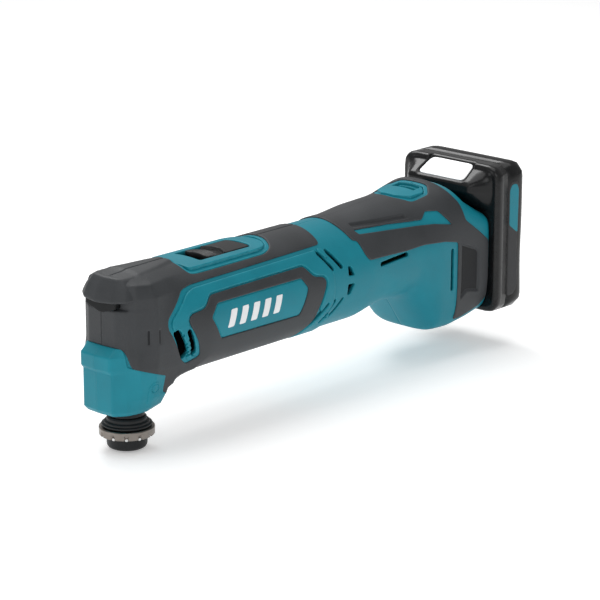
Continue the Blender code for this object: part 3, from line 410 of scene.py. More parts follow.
def make_group(name, inputs, outputs):
    """An empty shader node group with named float inputs and outputs."""
    group = bpy.data.node_groups.new(name, "ShaderNodeTree")
    for label, value in inputs:
        group.interface.new_socket(label, in_out="INPUT", socket_type="NodeSocketFloat").default_value = value
    for label in outputs:
        group.interface.new_socket(label, in_out="OUTPUT", socket_type="NodeSocketFloat")
    return group, group.nodes.new("NodeGroupInput"), group.nodes.new("NodeGroupOutput")


def wire(tree, kind, settings=(), **sockets):
    """A node in a tree with its settings made and its inputs filled from values or from other sockets."""
    node = tree.nodes.new("ShaderNode" + kind)
    for key, value in dict(settings).items():
        setattr(node, key, value)
    for key, value in sockets.items():
        key = int(key[1:]) if key[0] == "i" and key[1:].isdigit() else key.replace("_", " ")
        if isinstance(value, bpy.types.NodeSocket):
            tree.links.new(value, node.inputs[key])
        else:
            node.inputs[key].default_value = value
    return node


# Mould grain: cells and noise on Object coordinates, mixed into one height and one slow mottle.
grain_group, gin, gout = make_group("mould_grain", (("Size", 900.0), ("Mottle Size", 60.0)),
                                    ("Height", "Mottle"))
spot = wire(grain_group, "TexCoord")
fine = wire(grain_group, "TexNoise", {}, Vector=spot.outputs["Object"], Scale=gin.outputs["Size"], Detail=3.0)
cells = wire(grain_group, "TexVoronoi", {"feature": "SMOOTH_F1"}, Vector=spot.outputs["Object"],
             Scale=gin.outputs["Size"])
mixed = wire(grain_group, "Math", {"operation": "MULTIPLY_ADD"}, i0=cells.outputs["Distance"], i1=0.6,
             i2=fine.outputs["Fac"])
slow = wire(grain_group, "TexNoise", {}, Vector=spot.outputs["Object"], Scale=gin.outputs["Mottle Size"],
            Detail=4.0)
grain_group.links.new(mixed.outputs[0], gout.inputs["Height"])
grain_group.links.new(slow.outputs["Fac"], gout.inputs["Mottle"])

# Edge rub and painted highlight: the lip attribute broken up by noise gives rounded lips a lighter colour,
# partly rubbed wear and partly a painted highlight where lips catch light.
rub_and_highlight_group, rin, rout = make_group("edge_rub", (("Amount", 0.5),), ("Mask",))
lip_value = wire(rub_and_highlight_group, "Attribute", {"attribute_name": "edge"})
spot = wire(rub_and_highlight_group, "TexCoord")
broken = wire(rub_and_highlight_group, "TexNoise", {}, Vector=spot.outputs["Object"], Scale=220.0, Detail=5.0)
worn_and_lit = wire(rub_and_highlight_group, "MapRange", {}, Value=broken.outputs["Fac"], From_Min=0.3, From_Max=0.7)
mask = wire(rub_and_highlight_group, "Math", {"operation": "MULTIPLY"}, i0=lip_value.outputs["Fac"],
            i1=worn_and_lit.outputs["Result"])
mask = wire(rub_and_highlight_group, "Math", {"operation": "MULTIPLY"}, i0=mask.outputs[0], i1=rin.outputs["Amount"])
rub_and_highlight_group.links.new(mask.outputs[0], rout.inputs["Mask"])


def moulded(name, dark, light, rub_and_highlight, rough, grain=900.0, bump=0.1, metal=0.0, coat=0.0, wear_and_highlight=0.5, far=0.0002,
            specular=0.5):
    """Moulded or cast finish: two tones by the slow mottle, a lighter lip that is partly rubbed wear and
    partly a painted highlight, roughness and bump by the grain.
    """
    paint = bpy.data.materials.new(name)
    paint.use_nodes = True
    tree = paint.node_tree
    shader = tree.nodes["Principled BSDF"]
    surface = tree.nodes.new("ShaderNodeGroup")
    surface.node_tree = grain_group
    surface.inputs["Size"].default_value = grain
    edges = tree.nodes.new("ShaderNodeGroup")
    edges.node_tree = rub_and_highlight_group
    edges.inputs["Amount"].default_value = wear_and_highlight
    tone = wire(tree, "MapRange", {}, Value=surface.outputs["Mottle"], From_Min=0.35, From_Max=0.65)
    base = wire(tree, "Mix", {"data_type": "RGBA"}, i0=tone.outputs["Result"], i6=(*dark, 1), i7=(*light, 1))
    # Lighter colour on the lips: partly rubbed wear, partly a painted highlight.
    final = wire(tree, "Mix", {"data_type": "RGBA"}, i0=edges.outputs["Mask"], i6=base.outputs[2],
                 i7=(*rub_and_highlight, 1))
    tree.links.new(final.outputs[2], shader.inputs["Base Color"])
    shine = wire(tree, "MapRange", {}, Value=surface.outputs["Mottle"], From_Min=0.3, From_Max=0.7,
                 To_Min=rough - 0.05, To_Max=rough + 0.05)
    tree.links.new(shine.outputs["Result"], shader.inputs["Roughness"])
    raised = wire(tree, "Bump", {}, Strength=bump, Distance=far, Height=surface.outputs["Height"])
    tree.links.new(raised.outputs["Normal"], shader.inputs["Normal"])
    shader.inputs["Metallic"].default_value = metal
    shader.inputs["Coat Weight"].default_value = coat
    shader.inputs["Specular IOR Level"].default_value = specular
    return paint


teal_nylon = moulded("teal_nylon", (0.003, 0.190, 0.250), (0.004, 0.215, 0.280), (0.02, 0.32, 0.39), 0.48,
                     bump=0.22,
                     specular=0.28)

VENTS = (
    ((11.2, 57.4), (17.0, 45.0), 3.8), ((17.6, 57.2), (22.4, 45.2), 2.8),
    ((110.4, 76.0), (116.8, 67.4), 2.4), ((117.2, 76.0), (123.4, 67.4), 2.4),
    ((104.8, 41.2), (112.4, 50.4), 1.9), ((111.6, 41.0), (118.0, 50.8), 1.9),
    ((117.2, 41.6), (123.6, 50.6), 1.9), ((153.0, 62.6), (172.6, 63.8), 2.3),
    ((206.8, 38.5), (206.8, 59.0), 2.2),
)
WINDOWS = (((128, 66.9), (130.4, 66.2), (131.8, 61.4), (127.4, 61.9)),
           ((126.8, 57.7), (131.9, 57.3), (129, 51.8), (126.6, 51.9)))
vent_rings = [slot_outline(*vent) for vent in VENTS] + [rounded(w, 0.8) for w in WINDOWS]
SCREWS = ((15.4, 37.0), (66.0, 37.0), (142.0, 40.0), (222.0, 27.0))
screw_rings = [slot_outline((x - 0.01, z), (x + 0.01, z), 4.9) for x, z in SCREWS]

SWITCH_HOLE = rounded(((27.6, -14.6), (26.4, 0), (27.6, 14.6), (31, 15.4), (79, 15.0), (85.5, 12.4),
                       (88.8, 5.5), (88.8, -5.5),
                       (85.5, -12.4), (79, -15.0), (31, -15.4)), 3.0)
DIAL_HOLE = rounded(((184.6, -5), (184.6, 5), (190, 13.0), (201.5, 14.2), (206.6, 9), (206.6, -9),
                     (201.5, -14.2), (190, -13.0)), 1.6)
PAD_RECESS = rounded(((213.3, 61.9), (226.3, 56.8), (228.2, 55.1), (228.4, 32.8), (218.2, 35),
                      (213.0, 31.0)), 1.4)
TOP_RECESS = rounded(((142.5, 83.3), (178.9, 82.2), (181.2, 79.6), (143.2, 81.0)), 0.8)


def shell_depth(p, rings):
    """Depth inside a shell: clear of its slots, the switch's and the dial's openings and the grip's
    recesses.
    """
    open_top = np.minimum(clear_of(p, SWITCH_HOLE, -1.6), clear_of(p, DIAL_HOLE, -1.6))
    return np.minimum(side_view(p, (), rings + [PAD_RECESS, TOP_RECESS]), open_top)


shell_left = panel(skin, skin_out, lambda p: shell_depth(p, vent_rings), -0.7, 0.35, 3.0)
shell_right = mirrored(panel(skin, skin_out, lambda p: shell_depth(p, vent_rings + screw_rings), -0.7, 0.35,
                             3.0))

# The raised band with its rim, between the upper grip and the name plate frame, down to the vents by the nose.
BAND = rounded(((115.4, 77.6), (24.0, 76.6), (19.0, 75.2), (8.4, 63.8), (8.4, 60.8), (18.2, 44.2),
                (21.0, 41.4), (25.6, 43.2),
                (22.6, 51), (16.6, 61.8), (17.8, 66.0), (27.0, 67.4), (32.2, 72.6), (97.7, 73.2),
                (103, 67.2), (110, 65.8),
                (111.6, 62.5), (107.4, 51.6), (106.4, 44.1), (102.2, 35.8), (102.2, 26), (116, 26),
                (116.5, 64)), 2.4)
band = panel(skin, skin_out, lambda p: side_view(p, [BAND], vent_rings), 0.25, 0.7, 2.0, rows=(60, 330))
finish_mesh("housing_shell_left", *joined(shell_left, band)[:2], "housing", "left_housing_shell",
            "teal_nylon", teal_nylon,
            joined(shell_left, band)[2])
finish_mesh("housing_shell_right", *joined(shell_right, mirrored(band))[:2], "housing", "right_housing_shell",
            "teal_nylon", teal_nylon, joined(shell_right, mirrored(band))[2])

# --- Front grip --------------------------------------------------------------------------------
# Soft dark rubber moulded over the nose, the top of the barrel and round the name plate. It stands
# a little proud of the nylon and ends in a rolled lip.
grip_rubber = moulded("grip_rubber", (0.027, 0.030, 0.033), (0.034, 0.037, 0.041), (0.08, 0.085, 0.09), 0.55,
                      grain=1100.0, bump=0.28, wear_and_highlight=0.45, specular=0.4)
FRONT_GRIP = rounded((
    (117.5, 96), (115.6, 79.2), (60, 78.4), (23.5, 78.1), (17.2, 77.0), (6.4, 64.7), (6.4, 60.5),
    (16.2, 43.1),
    (20, 39.8), (26.9, 42.5), (23.4, 51), (17.3, 61.8), (18.5, 65.4), (27.4, 66.7), (32.5, 72),
    (97.3, 72.6), (102.5, 66.6), (109.5, 65.2), (110.8, 62.5), (106.6, 51.6), (105.4, 44.1),
    (100.8, 35.8), (100.8, 24), (24, 19), (8.6, 24), (8.4, 28), (6.2, 29.2), (6.6, 37),
    (-11.2, 43.4), (-13.4, 53.2), (-30, 53.2), (-30, 96)), 2.0)


def front_lift_of(p):
    """The front grip's height over the skin: a fine seam down the middle and two short upright grooves on
    each side.
    """
    seam = 0.3 * np.exp(-(p[:, 1] / 0.22) ** 2)
    upright = smooth_step(p[:, 2], 53.9, 55.1) - smooth_step(p[:, 2], 61.0, 62.2)
    cuts = np.exp(-((p[:, 0] + 4.0) / 0.9) ** 2) + np.exp(-((p[:, 0] - 1.0) / 0.9) ** 2)
    return -seam - 0.5 * cuts * upright


NAMEPLATE = rounded(((35.4, 67.7), (93.8, 67.7), (97.7, 62), (92.3, 49.1), (37.4, 49.9), (30.5, 61.9)), 1.2)
front_grip = panel(skin, skin_out, lambda p: np.minimum(side_view(p, [FRONT_GRIP], [NAMEPLATE]),
                                                        clear_of(p, SWITCH_HOLE, 0.35)),
                   front_lift_of, 0.6, 1.8, rows=(0, 320))
finish_mesh("front_overmould_left", *front_grip[:2], "housing", "left_front_overmould", "grip_rubber",
            grip_rubber, front_grip[2])
front_right = mirrored(front_grip)
finish_mesh("front_overmould_right", *front_right[:2], "housing", "right_front_overmould", "grip_rubber",
            grip_rubber, front_right[2])

# --- Name plate --------------------------------------------------------------------------------
# A flat teal plate in the rubber frame on each side, with plain slanted bars printed on it.
plate = panel(skin, skin_out, lambda p: side_view(p, [NAMEPLATE]) - 0.5, -0.35, 0.4, 1.6, rows=(130, 300),
              step=(1, 1))
for side, node, shape in (("left", "left_nameplate", plate), ("right", "right_nameplate", mirrored(plate))):
    finish_mesh("nameplate_" + side, *shape[:2], "housing", node, "teal_nylon", teal_nylon, shape[2])
bar_white = moulded("bar_white", (0.80, 0.81, 0.82), (0.86, 0.87, 0.88), (0.92, 0.92, 0.92), 0.45, bump=0.05)
BARS = [rounded(((x, 54.4), (x + 4.2, 54.4), (x + 7.0, 63.0), (x + 2.8, 63.0)), 0.5) for x in (41.0, 48.8,
    56.6, 64.4, 72.2)]
bars = panel(skin, skin_out, lambda p: side_view(p, BARS), -0.28, 0.05, 0.6, rows=(130, 300), step=(1, 1))
for side, shape in (("left", bars), ("right", mirrored(bars))):
    finish_mesh("plate_bars_" + side, *shape[:2], "housing", None, "grey_plastic", bar_white, shape[2])

# --- Rear grip ---------------------------------------------------------------------------------
# The same rubber over the handle, down the back of the base and round the speed dial.
REAR_GRIP = rounded((
    (135.8, 100), (134.9, 84.3), (137.3, 77.1), (140.3, 76.6), (141.8, 69.7), (143.9, 66.5), (171, 65.5),
    (186, 66), (201, 64.9), (210.8, 62.7), (210.8, 20.6), (216.6, 20.6), (230.6, 24.2), (235.4, 28.4),
    (235.2, 59.6), (217.8, 73.2), (216.6, 81.7), (211.4, 91.4), (211.4, 100)), 1.6)
REAR_STRIPE = rounded(((142.6, 80.6), (144.1, 78.6), (163.8, 77.4), (182.8, 76.0), (195.3, 75.0),
                       (206.9, 72.8), (200.3, 80.7),
                       (193.1, 81.4), (188.4, 78.1), (181.0, 78.5), (164.7, 79.9)), 0.6)


def rear_lift_of(p):
    """The grip's height over the skin: nought, sunk 1.1 in the two recessed fields."""
    flat = p[:, (0, 2)]
    sunk = np.maximum(inside_by(flat, PAD_RECESS), inside_by(flat, TOP_RECESS))
    return -1.1 * smooth_step(sunk, 0.1, 0.9)



rear_grip = panel(skin, skin_out, lambda p: np.minimum(side_view(p, [REAR_GRIP], [REAR_STRIPE]),
                                                       clear_of(p, DIAL_HOLE, 0.35)),
                  rear_lift_of, 0.5, 1.9, rows=(330, None), step=(1, 1))
for side, node, shape in (("left", "left_rear_overmould", rear_grip),
                          ("right", "right_rear_overmould", mirrored(rear_grip))):
    finish_mesh("rear_overmould_" + side, *shape[:2], "housing", node, "grip_rubber", grip_rubber, shape[2])

# A near-black strip lies in the two upright grooves on each side of the nose: painted shade in the grooves.
# The same darker colour fills a panel set inside each of the rear grip's two recessed fields.
field_black = moulded("field_black", (0.010, 0.011, 0.012), (0.014, 0.015, 0.017), (0.03, 0.03, 0.03), 0.55,
                      bump=0.2, specular=0.2)
GROOVES = [slot_outline((x, 54.9), (x, 61.2), 0.9) for x in (-4.0, 1.0)]
grooves = panel(skin, skin_out, lambda p: side_view(p, GROOVES), -0.3, 0.1, 0.8, rows=(20, 110), step=(1, 1))
fields = panel(skin, skin_out, lambda p: side_view(p, [PAD_RECESS, TOP_RECESS]) - 1.3, -0.95, 0.15, 1.6,
               rows=(330, None), step=(1, 1))
for side, shape in (("left", joined(fields, grooves)), ("right", mirrored(joined(fields, grooves)))):
    finish_mesh("grip_fields_" + side, *shape[:2], "housing", None, "grip_rubber", field_black, shape[2])

# --- Nose of the housing -----------------------------------------------------------------------
# The teal spindle housing is part of the same two shells: flat facets in front, a ledge under the
# lamp, and a ring-shaped floor round the spindle's seal.
level = np.concatenate([np.full(26, COLUMN_LOW), np.arange(COLUMN_LOW + 0.3, 54.0, 0.35)])
spread = np.concatenate([np.linspace(0.42, 1.0, 26), np.ones(len(level) - 26)])
level, spread = soft_line(level, 1.6), soft_line(spread, 1.6)
lv = np.clip(np.interp(level, head_level, range(len(HEAD))), 0, len(HEAD) - 1.001)
li = lv.astype(int)
reach_rows = head_reach[li] * (1 - (lv - li))[:, None] + head_reach[li + 1] * (lv - li)[:, None]
chin = np.stack([
    HUB * spread[:, None] - reach_rows * spread[:, None] * np.cos(around),
    -reach_rows * spread[:, None] * np.sin(around),
    np.broadcast_to(level[:, None], reach_rows.shape)], -1)
chin[:, (0, -1), 1] = 0.0


def faces_out(table, sign=1.0):
    """Unit normals of a surface table from the cross product of its two slopes."""
    normal = np.cross(np.gradient(table, axis=0), np.gradient(table, axis=1)) * sign
    return normal / (np.linalg.norm(normal, axis=-1, keepdims=True) + 1e-12)


chin_out = faces_out(chin, 1.0)
if (chin_out[60, 20] * (-1, 0, 0)).sum() < 0:
    chin_out = -chin_out
chin_out[:, (0, -1), 1] = 0.0
CHIN = rounded(((-40, 53.0), (-13.4, 53.0), (-12.5, 44.4), (6.8, 37.6), (6.6, 29.2), (8.9, 28.2), (9.2, 10),
                (-40, 10)), 0.8)
ARCH = rounded(((-2.8, 24.6), (-2.8, 33.4), (-1.6, 35.3), (0.6, 36.0), (2.8, 35.3), (4.0, 33.4),
                (4.0, 24.6)), 0.8)
DOTS = [slot_outline((0.6 + 2.1 * math.cos(k * math.pi / 6) - 0.01, 32.4 + 2.1 * math.sin(k * math.pi / 6)),
                     (0.6 + 2.1 * math.cos(k * math.pi / 6) + 0.01, 32.4 + 2.1 * math.sin(k * math.pi / 6)),
                     0.8) for k in range(12)]
nose_left = joined(panel(chin, chin_out, lambda p: side_view(p, [CHIN]), 0.25, 0.4, 1.6, step=(1, 1)),
                   panel(chin, chin_out, lambda p: side_view(p, [ARCH]), 0.42, 0.14, 0.5, step=(1, 1)),
                   panel(chin, chin_out, lambda p: side_view(p, DOTS), 0.62, 0.1, 0.2, step=(1, 1)))
for side, shape in (("left", nose_left), ("right", mirrored(nose_left))):
    finish_mesh("spindle_housing_" + side, *shape[:2], "housing", None, "teal_nylon", teal_nylon, shape[2])

# --- Bumper ------------------------------------------------------------------------------------
# A thick V-fronted rubber brow at the top of the nose, which overhangs and shields the work light.
def soft_net(rows, across, along, blur):
    """A control net filled in with straight lines both ways, then blurred a little both ways."""
    net = np.array(rows, float)
    r, c = np.linspace(0, len(net) - 1, (len(net) - 1) * along + 1), np.linspace(0, net.shape[1] - 1,
        (net.shape[1] - 1) * across + 1)
    net = np.stack([np.stack([np.interp(r, range(len(net)), net[:, j, k]) for j in range(net.shape[1])],
                             1) for k in range(3)], -1)
    net = np.stack([np.stack([np.interp(c, range(net.shape[1]), net[i, :, k]) for i in range(len(net))],
                             0) for k in range(3)], -1)
    for axis, width in ((0, blur[0]), (1, blur[1])):
        net = np.apply_along_axis(soft_line, axis, net, width)
    return net


def net_faces(rows, cols, start=0):
    """Quads over a grid of points, row by row."""
    n = np.arange(rows * cols).reshape(rows, cols) + start
    return np.stack([n[:-1, :-1], n[1:, :-1], n[1:, 1:], n[:-1, 1:]], -1).reshape(-1, 4)


def brow_row(z, centre, corner, cheek, root, drop=0.0):
    """One level of the bumper, from its root on the right round the V front to its root on the left."""
    half = [(-4.0, 0.0), root, cheek, corner, (centre, 0.0)]
    whole = half[:1] + [(x, y) for x, y in half[1:4]] + [half[4]] + [(x, -y) for x,
        y in reversed(half[1:4])] + half[:1]
    return [(x, y, z + drop * (abs(y) / 9.0) ** 1.0) for x, y in whole]


brow = soft_net((
    brow_row(75.2, -9.0, (-9.0, 4.0), (-8.6, 6.0), (-6, 8.0)),
    brow_row(74.5, -15.0, (-14.6, 8.0), (-11.6, 13.2), (-5, 15.0), 0.2),
    brow_row(74.7, -19.2, (-17.4, 9.0), (-13.2, 14.4), (-5, 16.6), 0.3),
    brow_row(75.9, -19.2, (-17.4, 9.2), (-13.4, 14.6), (-5, 17.6), 0.3),
    brow_row(81.0, -17.0, (-15.0, 9.1), (-11.8, 13.0), (-5, 15.6)),
    brow_row(85.4, -13.2, (-12.2, 8.0), (-9.8, 9.6), (-3, 10.8)),
    brow_row(85.75, -11.8, (-10.8, 6.4), (-8.2, 7.6), (-3, 8.6)),
    brow_row(85.2, -8.0, (-7.0, 3.4), (-6, 4.6), (-4, 4.6)),
), 10, 8, (1.6, 0.9))
rows, cols = brow.shape[:2]
points = brow.reshape(-1, 3)
faces = net_faces(rows, cols)
marks = np.zeros(len(points))
finish_mesh("nose_bumper", points, faces[:, ::-1], "housing", None, "grip_rubber", grip_rubber, marks)

# --- Work light --------------------------------------------------------------------------------
# A dark lens with a V-shaped lower edge that fills the slot under the bumper, over its board.
smoked = moulded("smoked_lens", (0.006, 0.007, 0.008), (0.009, 0.010, 0.011), (0.02, 0.02, 0.02), 0.35,
                 bump=0.02, specular=0.12)


def flat_table(corner, run_u, run_v, size_u, size_v, pitch):
    """A plane of points: a corner plus steps along two directions."""
    u, v = np.arange(0, size_u + 1e-6, pitch), np.arange(0, size_v + 1e-6, pitch)
    table = np.array(corner, float) + u[:, None, None] * np.array(run_u, float) + v[None, :,
        None] * np.array(run_v, float)
    return table


def steady(table, way):
    """The same outward direction at every node of a table."""
    return np.broadcast_to(np.array(way, float) / np.linalg.norm(way), table.shape).copy()


lamp_table = flat_table((-12.2, -11, 66), (0, 1, 0), (0, 0, 1), 22, 12, 0.25)
LAMP = rounded(((-10.2, 76.6), (10.2, 76.6), (9.6, 72.0), (1.2, 69.3), (-1.2, 69.3), (-9.6, 72.0)), 0.6)
lamp = panel(lamp_table, steady(lamp_table, (-1, 0, 0)), lambda p: inside_by(p[:, 1:], LAMP), 3.35, 0.3,
             0.8, step=(2, 2))
finish_mesh("lamp_lens", *lamp[:2], "housing", "led_lens", "clear_lens", smoked, lamp[2])

# --- Switch ------------------------------------------------------------------------------------
# A teal cover plate over the slot, clipped into both shells, and the black thumb slider in it with
# a scooped, ribbed front half.
PLATE_TOP = rounded(((29.8, -12.9), (28.4, 0), (29.8, 12.9), (32.5, 13.4), (78, 13.0), (83.6, 10.8),
                     (87.0, 5.0), (87.0, -5.0), (83.6, -10.8),
                     (78, -13.0), (32.5, -13.4)), 2.6)
WINDOW = rounded(((41.2, -8.7), (41.2, 8.7), (75.4, 8.7), (77.2, 6), (77.2, -6), (75.4, -8.7)), 1.2)
plate_table = flat_table((24, -17, 0), (1, 0, 0), (0, 1, 0), 68, 34, 0.5)
rim_height = lambda p: 83.4 - 0.0095 * np.abs(p[:, 1]) ** 2 + 0.3 * np.clip((32 - p[:, 0]) / 6, 0, 1)
top_height = lambda p: 84.7 - 0.0062 * np.abs(p[:, 1]) ** 2 - 0.3 * np.clip((p[:, 0] - 78) / 10, 0, 1)
up = steady(plate_table, (0, 0, 1))
drop_to = lambda z: (lambda p: p * (1, 1, 0) + (0, 0, z))
rim_plate = panel(plate_table, up, lambda p: np.minimum(inside_by(p[:, :2], SWITCH_HOLE),
                                                        -inside_by(p[:, :2], WINDOW)), rim_height, 0.7, 0,
                  step=(2, 2), wall=drop_to(79.0))
top_plate = panel(plate_table, up, lambda p: np.minimum(inside_by(p[:, :2], PLATE_TOP),
                                                        -inside_by(p[:, :2], WINDOW)), top_height, 0.5, 0,
                  step=(1, 1), wall=drop_to(80.0))
whole = joined(rim_plate, top_plate)
finish_mesh("switch_cover", *whole[:2], "housing", "switch_plate", "teal_nylon", teal_nylon, whole[2])

slider_black = moulded("slider_black", (0.012, 0.013, 0.014), (0.018, 0.019, 0.020), (0.06, 0.06, 0.06),
                       0.42, bump=0.12, specular=0.22)
SLIDER = rounded(((47.6, -7.9), (47.6, 7.9), (75.6, 7.9), (76.5, 6), (76.5, -6), (75.6, -7.9)), 0.9)


def slider_height(p):
    """Flat at the back; in front a scoop that deepens up to a curved ridge, with ribs across its front."""
    x, y = p[:, 0], p[:, 1]
    ridge = 61.5 - 0.055 * y ** 2
    s = np.clip((x - 47.6) / (ridge - 47.6), 0, 1)
    scoop = np.where(x < ridge, -1.5 * s ** 1.6 + 0.2, 0.0)
    rib_line = (x - 0.03 * y ** 2) * 2 * math.pi / 1.9
    ribs = np.where(s < 0.62, 0.28 * np.maximum(0, np.sin(rib_line)), 0.0)
    lip = 0.35 * np.exp(-((x - ridge - 0.5) / 0.8) ** 2)
    return 84.45 + scoop + ribs + lip - 0.003 * y ** 2


slider_table = flat_table((46.5, -9, 0), (1, 0, 0), (0, 1, 0), 31, 18, 0.2)
slider = panel(slider_table, steady(slider_table, (0, 0, 1)), lambda p: inside_by(p[:, :2], SLIDER),
               slider_height, 0.4, 0,
               step=(1, 1), wall=drop_to(82.2))
finish_mesh("thumb_slider", *slider[:2], "slider", "switch_slider", "black_plastic", slider_black, slider[2])

# --- Speed dial --------------------------------------------------------------------------------
# A small wheel that shows through a slot in its stepped teal window plate.
DIAL_TOP = rounded(((187.0, -4.4), (187.0, 4.4), (191.6, 11.2), (200.6, 12.2), (204.8, 8), (204.8, -8),
                    (200.6, -12.2), (191.6, -11.2)), 1.4)
DIAL_SLOT = rounded(((198.4, -7.4), (198.4, 7.4), (203.4, 7.4), (203.4, -7.4)), 0.5)
dial_table = flat_table((182, -16, 0), (1, 0, 0), (0, 1, 0), 27, 32, 0.25)
dial_rim = lambda p: 86.9 + 0.105 * (p[:, 0] - 184) - 0.012 * p[:, 1] ** 2
dial_flat = lambda p: 88.2 + 0.105 * (p[:, 0] - 184) - 0.009 * p[:, 1] ** 2
up = steady(dial_table, (0, 0, 1))
low_part = panel(dial_table, up, lambda p: np.minimum(inside_by(p[:, :2], DIAL_HOLE),
                                                      -inside_by(p[:, :2], DIAL_SLOT)), dial_rim, 0.7, 0,
                 step=(2, 2), wall=drop_to(82.0))
high_part = panel(dial_table, up, lambda p: np.minimum(inside_by(p[:, :2], DIAL_TOP),
                                                       -inside_by(p[:, :2], DIAL_SLOT)), dial_flat, 0.5, 0,
                  step=(2, 2), wall=drop_to(83.0))
whole = joined(low_part, high_part)
finish_mesh("dial_window", *whole[:2], "housing", "dial_cover", "teal_nylon", teal_nylon, whole[2])

# --- Battery pack ------------------------------------------------------------------------------
# A slide-on pack in two halves: a polished black front shell with a hood and release pad, and a
# crowned rear shell with a matte side panel under a teal label. The glossy black release pad is
# painted near-white: a painted reflection of the bright panel above the pack.
gloss_black = moulded("gloss_black", (0.004, 0.0045, 0.005), (0.007, 0.0075, 0.008), (0.02, 0.02, 0.02),
                      0.24, grain=500.0, bump=0.03, coat=0.0, specular=0.28)
pack_grey = moulded("pack_grey", (0.022, 0.023, 0.025), (0.028, 0.029, 0.031), (0.05, 0.05, 0.05), 0.5,
                    bump=0.22, specular=0.3)
# Near-white paint for the release pad, whose real surface is glossy black: a painted reflection of the panel
# over the pack.
pad_white = moulded("pad_white", (0.78, 0.79, 0.80), (0.84, 0.85, 0.86), (0.9, 0.9, 0.9), 0.22, bump=0.02,
                    coat=0.5)
PACK = rounded(((-32.2, 19.2), (32.2, 19.2), (32.2, 97.8), (-32.2, 97.8)), 8.0)
PACK_FRONT, PACK_JOIN = 236.5, 245.0


def pack_front(y, z):
    """X of the pack's front face: upright low down, and a hood that comes forward at the top and slopes
    back.
    """
    hood = np.interp(z, (0, 74, 84.5, 88.0, 89.8, 97.3, 99),
                     (236.5, 236.5, 226.4, 226.6, 228.0, 240.6, 243.0))
    inward = smooth_step(np.abs(y), 19.0, 29.5)
    return PACK_FRONT + (np.minimum(hood, 243) - PACK_FRONT) * np.where(z < 96, 1 - inward, 1 - 0.4 * inward)


front_table = flat_table((PACK_JOIN, -33, 18.5), (0, 1, 0), (0, 0, 1), 66, 80, 0.5)
PAD = rounded(((-16.4, 227.8), (16.4, 227.8), (15.0, 240.8), (-15.0, 240.8)), 2.2)


def front_lift(p):
    """How far the front shell stands forward of the joint, with the release pad's pocket sunk into the
    slope.
    """
    x = pack_front(p[:, 1], p[:, 2])
    pocket = inside_by(np.stack([p[:, 1], x], -1), PAD)
    return PACK_JOIN - x - 2.2 * smooth_step(pocket, -0.4, 0.8) * (p[:, 2] > 89.0) * (p[:, 2] < 97.2)


pack_wall = lambda p: p * (0, 1, 1) + (PACK_JOIN - 0.2, 0, 0)
shell = panel(front_table, steady(front_table, (-1, 0, 0)), lambda p: inside_by(p[:, 1:], PACK), front_lift,
              2.6, 0, step=(1, 1),
              rings=6, wall=pack_wall)
finish_mesh("pack_front_shell", *shell[:2], "battery", "battery_front_case", "black_plastic", gloss_black,
            shell[2])

pad_slope = np.array((240.6 - 228.0, 0, 97.3 - 89.8)) / math.hypot(12.6, 7.5)
pad_up = np.array((-pad_slope[2], 0, pad_slope[0]))
pad_table = flat_table(np.array((228.0, -17, 89.8)) - pad_up * 0.45, pad_slope, (0, 1, 0), 14.6, 34, 0.25)
PAD_FACE = rounded(((0.6, -15.4), (0.6, 15.4), (13.4, 14.1), (13.4, -14.1)), 3.4)
pad_flat = lambda p: np.stack([(p - (228.0, 0, 89.8)) @ pad_slope, p[:, 1]], -1)
pad = panel(pad_table, steady(pad_table, pad_up), lambda p: inside_by(pad_flat(p), PAD_FACE),
            lambda p: 0.3 - 0.45 * smooth_step(inside_by(pad_flat(p), PAD_FACE), 0.3, 5.0), 0.4, 0.5,
            step=(1, 1))
# The release pad gets the near-white painted reflection in place of its own glossy black.
finish_mesh("release_pad", *pad[:2], "button", "release_button", "black_plastic", pad_white, pad[2])

rear_table = flat_table((PACK_JOIN, -33, 18.5), (0, 1, 0), (0, 0, 1), 66, 80, 0.5)
waist = lambda z: 0.75 * np.exp(-((z - 46) / 16.0) ** 2)
rear_lift = lambda p: 15.8 - waist(p[:, 2]) - 0.35 * (np.abs(p[:, 1]) / 32.0) ** 2
rear = panel(rear_table, steady(rear_table, (1, 0, 0)), lambda p: inside_by(p[:, 1:], PACK) - 0.05,
             rear_lift, 5.2, 0, step=(2, 2),
             rings=8, wall=lambda p: p * (0, 1, 1) + (PACK_JOIN + 0.2, 0, 0))
finish_mesh("pack_rear_shell", *rear[:2], "battery", "battery_rear_case", "grey_plastic", gloss_black,
            rear[2])

SIDE_PANEL = rounded(((246.0, 27.6), (250.8, 27.6), (253.6, 31), (254.2, 36), (253.2, 50), (254.0, 66),
                      (254.6, 85.0), (252.8, 88.4), (248.0, 88.4),
                      (246.0, 85.4)), 1.4)
LABEL = rounded(((246.7, 65.6), (253.5, 60.6), (254.0, 83.8), (252.4, 87.0), (248.5, 87.0), (246.7, 84.4)),
                1.2)
side_table = flat_table((245.5, -32.0, 20), (1, 0, 0), (0, 0, 1), 14, 75, 0.5)
side_out = steady(side_table, (0, -1, 0))
grey = panel(side_table, side_out, lambda p: side_view(p, [SIDE_PANEL]), 0.36, 0.3, 0.6, step=(1, 1))
label = panel(side_table, side_out, lambda p: side_view(p, [LABEL]), 0.44, 0.12, 0.2, step=(1, 1))
for side, turned_over in (("left", lambda shape: shape), ("right", mirrored)):
    for name, shape, slot, paint in (("pack_side_", grey, "grey_plastic", pack_grey),
                                     ("pack_label_", label, "teal_nylon", teal_nylon)):
        shape = turned_over(shape)
        finish_mesh(name + side, *shape[:2], "battery", None, slot, paint, shape[2])

# --- Accessory holder --------------------------------------------------------------------------
# A hardened steel ring with twelve notches on the end of the swinging spindle, a stepped seal over
# it, and the black clamp that is drawn up under it by the bolt.
notched_steel = moulded("notched_steel", (0.20, 0.175, 0.155), (0.28, 0.255, 0.235), (0.5, 0.48, 0.45),
                        0.32, grain=1400.0, bump=0.10, metal=1.0)
seal_black = moulded("seal_black", (0.016, 0.017, 0.018), (0.026, 0.027, 0.028), (0.08, 0.08, 0.08), 0.5,
                     bump=0.25, specular=0.25)


